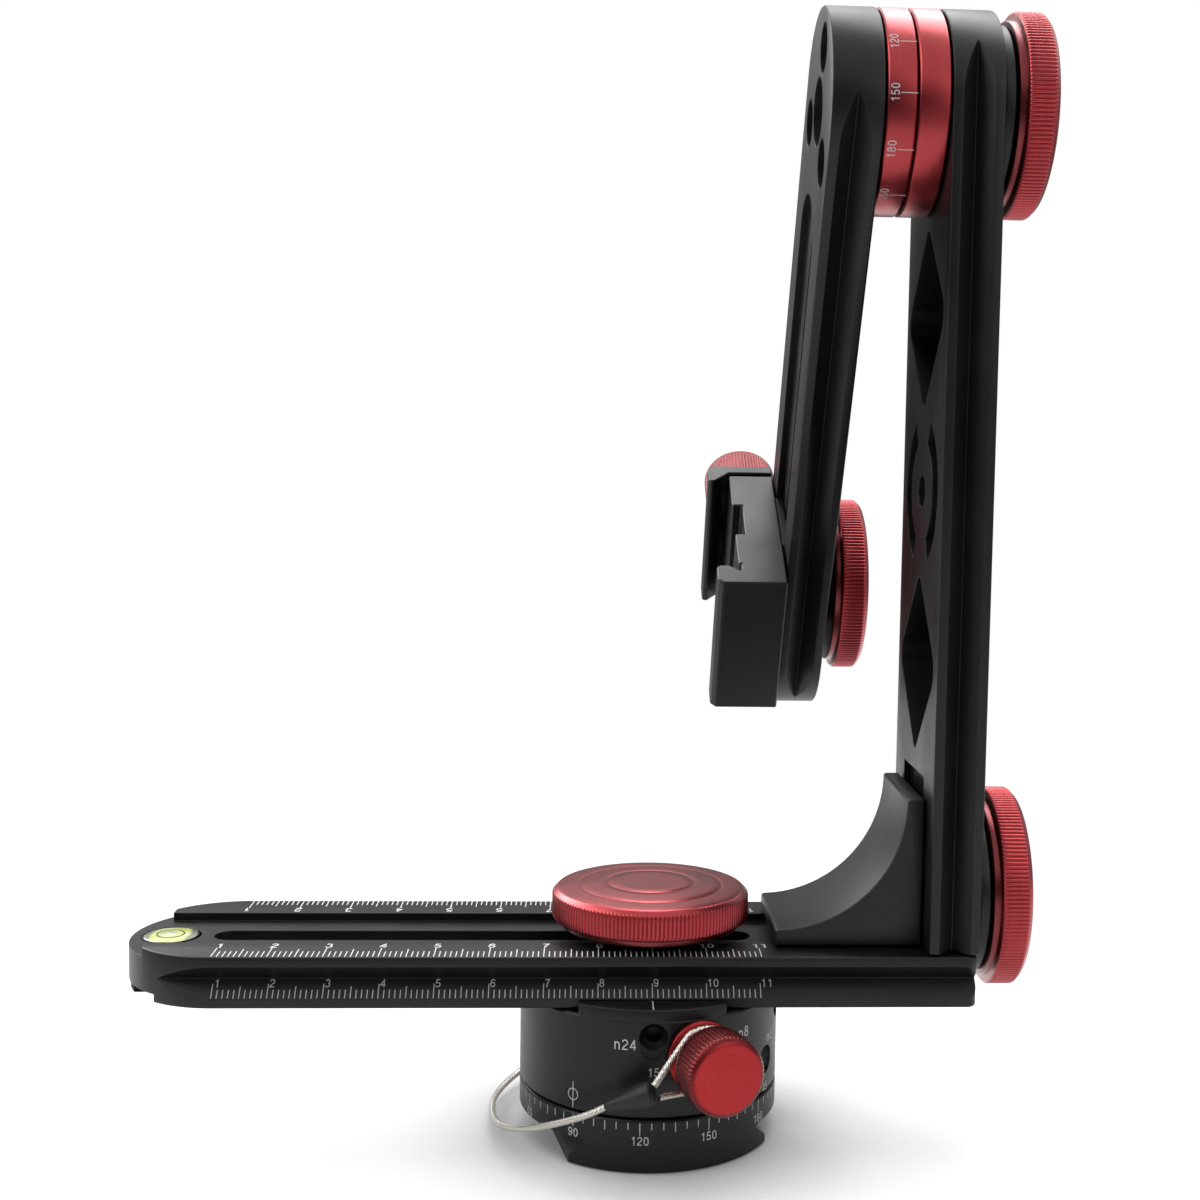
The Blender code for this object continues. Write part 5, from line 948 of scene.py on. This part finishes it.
def build_screws():
    seat = ARM_LEFT + ARM_SINK - GAP
    for node, turn in ARM_SCREWS.items():
        socket_screw(node, 0.0042, 0.0032, 0.0024, ARM_RIGHT + GAP + 0.0042 - seat, "arm",
                     TILT @ at(arm_screw_spot(seat, turn), ALONG_X))
    for node, x in BRACKET_SCREWS.items():
        socket_screw(node, 0.0036, 0.0028, 0.0020, screw_reach(x) + GAP, "rail_frame",
                     at((x, 0, RAIL_LOW + BRACKET_SINK - GAP)))


def build_rings():
    recess, corner = 0.0153, 0.00035
    for name, low, high, body, node in (
        ("dial_ring_fine", ARM_RIGHT + GAP, SPLIT - GAP / 2, "arm", "dial_ring"),
        ("hub_ring_fine", SPLIT + GAP / 2, UP_LEFT - GAP, "rail_frame", "hub_ring"),
    ):
        profile = soften([(BORE, low), (RING - corner, low), (RING, low + corner), (RING, high - corner),
                          (RING - corner, high), (BORE, high)], 0.0002)
        if node == "hub_ring":
            profile = [(recess, low), *profile[1:], (BORE, low + 0.0009), (recess, low + 0.0009)]
        turned(name, profile, 256, RED, body, at((0, 0, TILT_Z), ALONG_X), [node], closed=True)


def build_level():
    x, floor = -0.0918, RAIL_TOP - CHANNEL_DEPTH
    low, top = floor - 0.0045, floor + 0.00015
    dome = lambda r: top + 0.0002 - 0.00025 * (r / 0.0048) ** 2
    place = at((x, 0, 0))
    cup = soften([(0, low), (0.0053, low), (0.0053, top - 0.0001), (0.00525, top), (0.00512, top),
                  (0.00508, top - 0.0001), (0.00508, low + 0.0010), (0, low + 0.0010)], 0.00006)
    turned("level_cup", cup, 128, BLACK_TURNED, "rail_frame", place, ["level_housing"])
    vial = soften([(0, low + 0.0013), (0.0042, low + 0.0013), (0.0042, low + 0.0030), (0.0050, low + 0.0034),
                   (0.0050, top - 0.0001), (0.0048, top - 0.00004), (0.0030, top + 0.00012), (0.0015, top + 0.00018),
                   (0, top + 0.0002)], 0.0002)
    turned("level_glass", vial, 128, FLUID, "rail_frame", place, ["level_vial"], angle=60)
    ring = [(r, dome(r) + h) for r, h in ((0.00240, -0.00004), (0.00240, 0.00005), (0.00266, 0.00005),
                                          (0.00266, -0.00004))]
    turned("level_ring", ring, 128, SLEEVE, "rail_frame", place, closed=True)
    bubble = [(r, dome(near) + h) for r, near, h in (
        (0, 0, -0.00002), (0.0016, 0.0016, -0.00003), (0.00165, 0.0016, 0.00001), (0.0013, 0.0013, 0.00006),
        (0.0008, 0.0008, 0.00009), (0, 0, 0.0001))]
    turned("level_bubble", bubble, 96, BUBBLE, "rail_frame", at((x - 0.0003, 0, 0)), angle=70)


# -------- engraved and filled marks

MARK_TOP, MARK_FLOOR, THIN = 0.000016, -0.00003, 0.00017


def bow(cx, cy, rx, ry, start, end, steps=12, square=0.92):
    """Part of an oval, in degrees, a little squarer than an ellipse."""
    path = []
    for i in range(steps + 1):
        turn = radians(start + (end - start) * i / steps)
        c, s = cos(turn), sin(turn)
        path.append((cx + rx * copysign(abs(c) ** square, c), cy + ry * copysign(abs(s) ** square, s)))
    return path


SIX = [(False, [(0.46, 0.76), (0.41, 0.88), (0.29, 0.94), (0.17, 0.87), (0.09, 0.70), (0.06, 0.50), (0.06, 0.31)]),
       (True, bow(0.26, 0.31, 0.20, 0.25, 0, 345, 20))]
GLYPHS = {
    "0": [(True, bow(0.26, 0.50, 0.20, 0.44, 0, 350, 24, 0.82))],
    "1": [(False, [(0.12, 0.75), (0.24, 0.80), (0.33, 0.92), (0.34, 0.97)]), (False, [(0.34, 0.0), (0.34, 1.0)])],
    "2": [(False, bow(0.26, 0.70, 0.20, 0.24, 170, -30) + [(0.26, 0.40), (0.12, 0.24), (0.06, 0.06), (0.48, 0.06)])],
    "3": [(False, bow(0.25, 0.73, 0.18, 0.21, 165, -80, 12)), (False, bow(0.25, 0.29, 0.21, 0.23, 80, -165, 14))],
    "4": [(False, [(0.52, 0.28), (0.05, 0.28), (0.37, 0.93)]), (False, [(0.38, 0.0), (0.38, 1.0)])],
    "5": [(False, [(0.46, 0.94), (0.14, 0.94), (0.09, 0.50)] + bow(0.25, 0.32, 0.21, 0.26, 140, -160, 14))],
    "6": SIX,
    "7": [(False, [(0.04, 0.94), (0.48, 0.94), (0.34, 0.66), (0.24, 0.34), (0.20, 0.0)])],
    "8": [(True, bow(0.26, 0.74, 0.17, 0.20, 0, 345, 20)), (True, bow(0.26, 0.29, 0.20, 0.23, 0, 345, 20))],
    "9": [(closed, [(0.52 - x, 1.0 - y) for x, y in path]) for closed, path in SIX],
    "n": [(False, [(0.07, 0.0), (0.07, 0.74)]),
          (False, [(0.07, 0.50), (0.12, 0.63), (0.23, 0.69), (0.35, 0.66), (0.42, 0.55), (0.43, 0.42), (0.43, 0.0)])],
}


class Stencil:
    """Marks drawn in u and v on an unrolled surface, then laid on it by a function of u, v and height."""

    def __init__(self):
        self.points, self.faces = [], []

    def add(self, points, faces):
        start = len(self.points)
        self.points += points
        self.faces += [tuple(start + i for i in face) for face in faces]

    def tick(self, u, low, high, width):
        """A stroke along v."""
        self.stroke([(u, low), (u, high)], width / 2)

    def circle(self, u, v, radius, width, steps=48):
        points, faces = [], []
        for i in range(steps):
            turn = TURN * i / steps
            for reach in (radius - width / 2, radius + width / 2):
                for height in (MARK_FLOOR, MARK_TOP):
                    points.append((u + reach * cos(turn), v + reach * sin(turn), height))
        for i in range(steps):
            a, b = 4 * i, 4 * ((i + 1) % steps)
            faces += [(a + 1, b + 1, b + 3, a + 3), (a + 3, b + 3, b + 2, a + 2), (a + 2, b + 2, b, a),
                      (a, b, b + 1, a + 1)]
        self.add(points, faces)

    def stroke(self, path, half, closed=False):
        """A line of even width along a path, with mitred corners."""
        count = len(path)
        points, faces = [], []
        for i, (x, y) in enumerate(path):
            before = path[i - 1] if i or closed else path[0]
            after = path[(i + 1) % count] if i < count - 1 or closed else path[-1]
            first, second = Vector((x - before[0], y - before[1])), Vector((after[0] - x, after[1] - y))
            first = (first if first.length > 1e-9 else second).normalized()
            second = (second if second.length > 1e-9 else first).normalized()
            middle = first + second
            middle = middle.normalized() if middle.length > 1e-6 else first
            reach = half / max(0.55, middle.dot(first))
            side = Vector((-middle.y, middle.x)) * reach
            for height in (MARK_FLOOR, MARK_TOP):
                points += [(x + side.x, y + side.y, height), (x - side.x, y - side.y, height)]
        for i in range(count if closed else count - 1):
            a, b = 4 * i, 4 * ((i + 1) % count)
            faces += [(a + 2, b + 2, b + 3, a + 3), (a, a + 1, b + 1, b), (a, b, b + 2, a + 2),
                      (a + 1, a + 3, b + 3, b + 1)]
        if not closed:
            last = 4 * (count - 1)
            faces += [(0, 2, 3, 1), (last, last + 1, last + 3, last + 2)]
        self.add(points, faces)

    def text(self, words, u, v, height, turn=0.0, wide=1.12, weight=0.062):
        """Words centred at u and v, turned by an angle, as high as height."""
        spacing, letter_width = 0.66, 0.52
        c, s = cos(turn), sin(turn)
        start = -(len(words) * spacing - (spacing - letter_width)) / 2
        for number, letter in enumerate(words):
            for closed, path in GLYPHS[letter]:
                flat = [((start + number * spacing + x) * wide * height, (y - 0.5) * height) for x, y in path]
                self.stroke([(u + x * c - y * s, v + x * s + y * c) for x, y in flat], weight * height, closed)

    def lay(self, name, spot, look, body, slot=None):
        mesh = bpy.data.meshes.new(name)
        mesh.from_pydata([tuple(spot(*p)) for p in self.points], [], self.faces)
        return piece(name, outward(mesh), look, body, smooth=False)


def wrapped(u, v, h):
    """u is the arc length on the drum from its front towards +X, and v the height."""
    return (DRUM + h) * sin(u / DRUM), -(DRUM + h) * cos(u / DRUM), v


def longest(value, steps):
    """The length that belongs to the coarsest step that divides the value."""
    return next(length for step, length in steps if value % step == 0)


def build_base_scale():
    marks = Stencil()
    for value in range(0, 360, 5):
        u = radians(value - 125) * DRUM
        marks.tick(u, longest(value, ((30, 0.00725), (15, 0.00785), (5, 0.00825))), 0.00955, THIN)
        if value % 30 == 0:
            marks.text(str(value), u, 0.00620, 0.00160)
    marks.lay("degree_scale", wrapped, PAINT, "base")
    marks = Stencil()
    u = radians(-35.2) * DRUM
    marks.tick(u, 0.0108, 0.0157, THIN)
    marks.circle(u, 0.0133, 0.00105, THIN)
    for turn, height, words in ((-11.7, 0.0240, "n24"), (43.0, 0.0241, "n8"), (65, 0.0207, "n6"), (0.3, 0.0190, "15"),
                                (61, 0.0113, "45"), (78, 0.0190, "60")):
        marks.text(words, radians(turn) * DRUM, height, 0.00195 if words[0] == "n" else 0.00162)
    marks.lay("drum_labels", wrapped, PAINT, "turntable")
    marks = Stencil()
    marks.tick(0, -0.0244, -0.0196, 0.00022)
    marks.lay("cheek_line", lambda u, v, h: (u, v, 0.0304 + h), PAINT, "turntable")


def ruler(name, spot, look, zero, edge, inward, steps, width, text_row, text_shift, text_height, **text_style):
    """Millimetre ticks from 1 to 11 cm in from an edge, with the centimetres beside them."""
    marks = Stencil()
    for mm in range(10, 111):
        x = mm / 1000 - zero
        marks.tick(x, *sorted((edge, edge + inward * longest(mm, steps))), width)
        if mm % 10 == 0:
            marks.text(str(mm // 10), x + text_shift[mm >= 100], text_row, text_height, **text_style)
    marks.lay(name, spot, look, "rail_frame")


def build_rail_scales():
    slope = sqrt(0.5)

    def rim(u, v, h):
        return u, v, RAIL_TOP + h

    def flank(u, v, h):
        """v runs up the lower side of the front groove, from its outer edge inwards."""
        return u, -HALF + (v - h) * slope, (RAIL_LOW + RAIL_TOP) / 2 - GROOVE + (v + h) * slope

    ruler("front_rim_scale", rim, PAINT, 0.090, -0.0186, 1, ((10, 0.0053), (5, 0.0045), (1, 0.0032)), 0.00019,
          -0.0119, (0.0002, 0.0002), 0.0024, wide=1.0, weight=0.07)
    ruler("back_rim_scale", rim, PAINT, 0.0897, 0.0186, -1, ((10, 0.0052), (5, 0.0041), (1, 0.0030)), 0.00019,
          0.0120, (-0.0001, -0.0001), 0.0024, turn=TURN / 2, wide=1.0, weight=0.07)
    ruler("groove_scale", flank, FAINT, 0.090, 0.0002, 1, ((10, 0.0029), (5, 0.0024), (1, 0.0017)), THIN,
          0.0032, (0.0007, 0.0012), 0.0016)


def build_dial():
    marks = Stencil()
    for step in range(12):
        u = radians(150 - step * 30 - 0.4) * RING
        marks.text(str(min(step, 12 - step) * 30), u, -0.04055, 0.00160)
        marks.tick(u, -0.04462, -0.04158, THIN)

    def around(u, v, h):
        """u is the arc length up from the front, and -v the place along the axle."""
        turn = u / RING
        return -v, -(RING + h) * cos(turn), TILT_Z + (RING + h) * sin(turn)

    marks.lay("dial_scale", around, PAINT, "arm")


bpy.context.scene.view_settings.view_transform = "Standard"
for build in (
    build_camera, build_world, build_floor, build_lamps, build_lanyard, build_base, build_drum, build_grips,
    build_collars, build_index_knob, build_clamp_knob, build_rail, build_bracket, build_upright, build_arm,
    build_screws, build_rings, build_level, build_base_scale, build_rail_scales, build_dial,
):
    build()

LOOKS = {"black": BLACK, "red": RED, "steel": STEEL, "brass": BRASS, "polymer": POLYMER, "sleeve": SLEEVE,
         "wire": WIRE, "fluid": FLUID}
for part in frame["record"]["subparts"]:
    node = nodes[part["node"]]
    node.data.materials.clear()
    node.data.materials.append(MATTE if part["node"] == "end_stop" else LOOKS[part["material_slot"]])
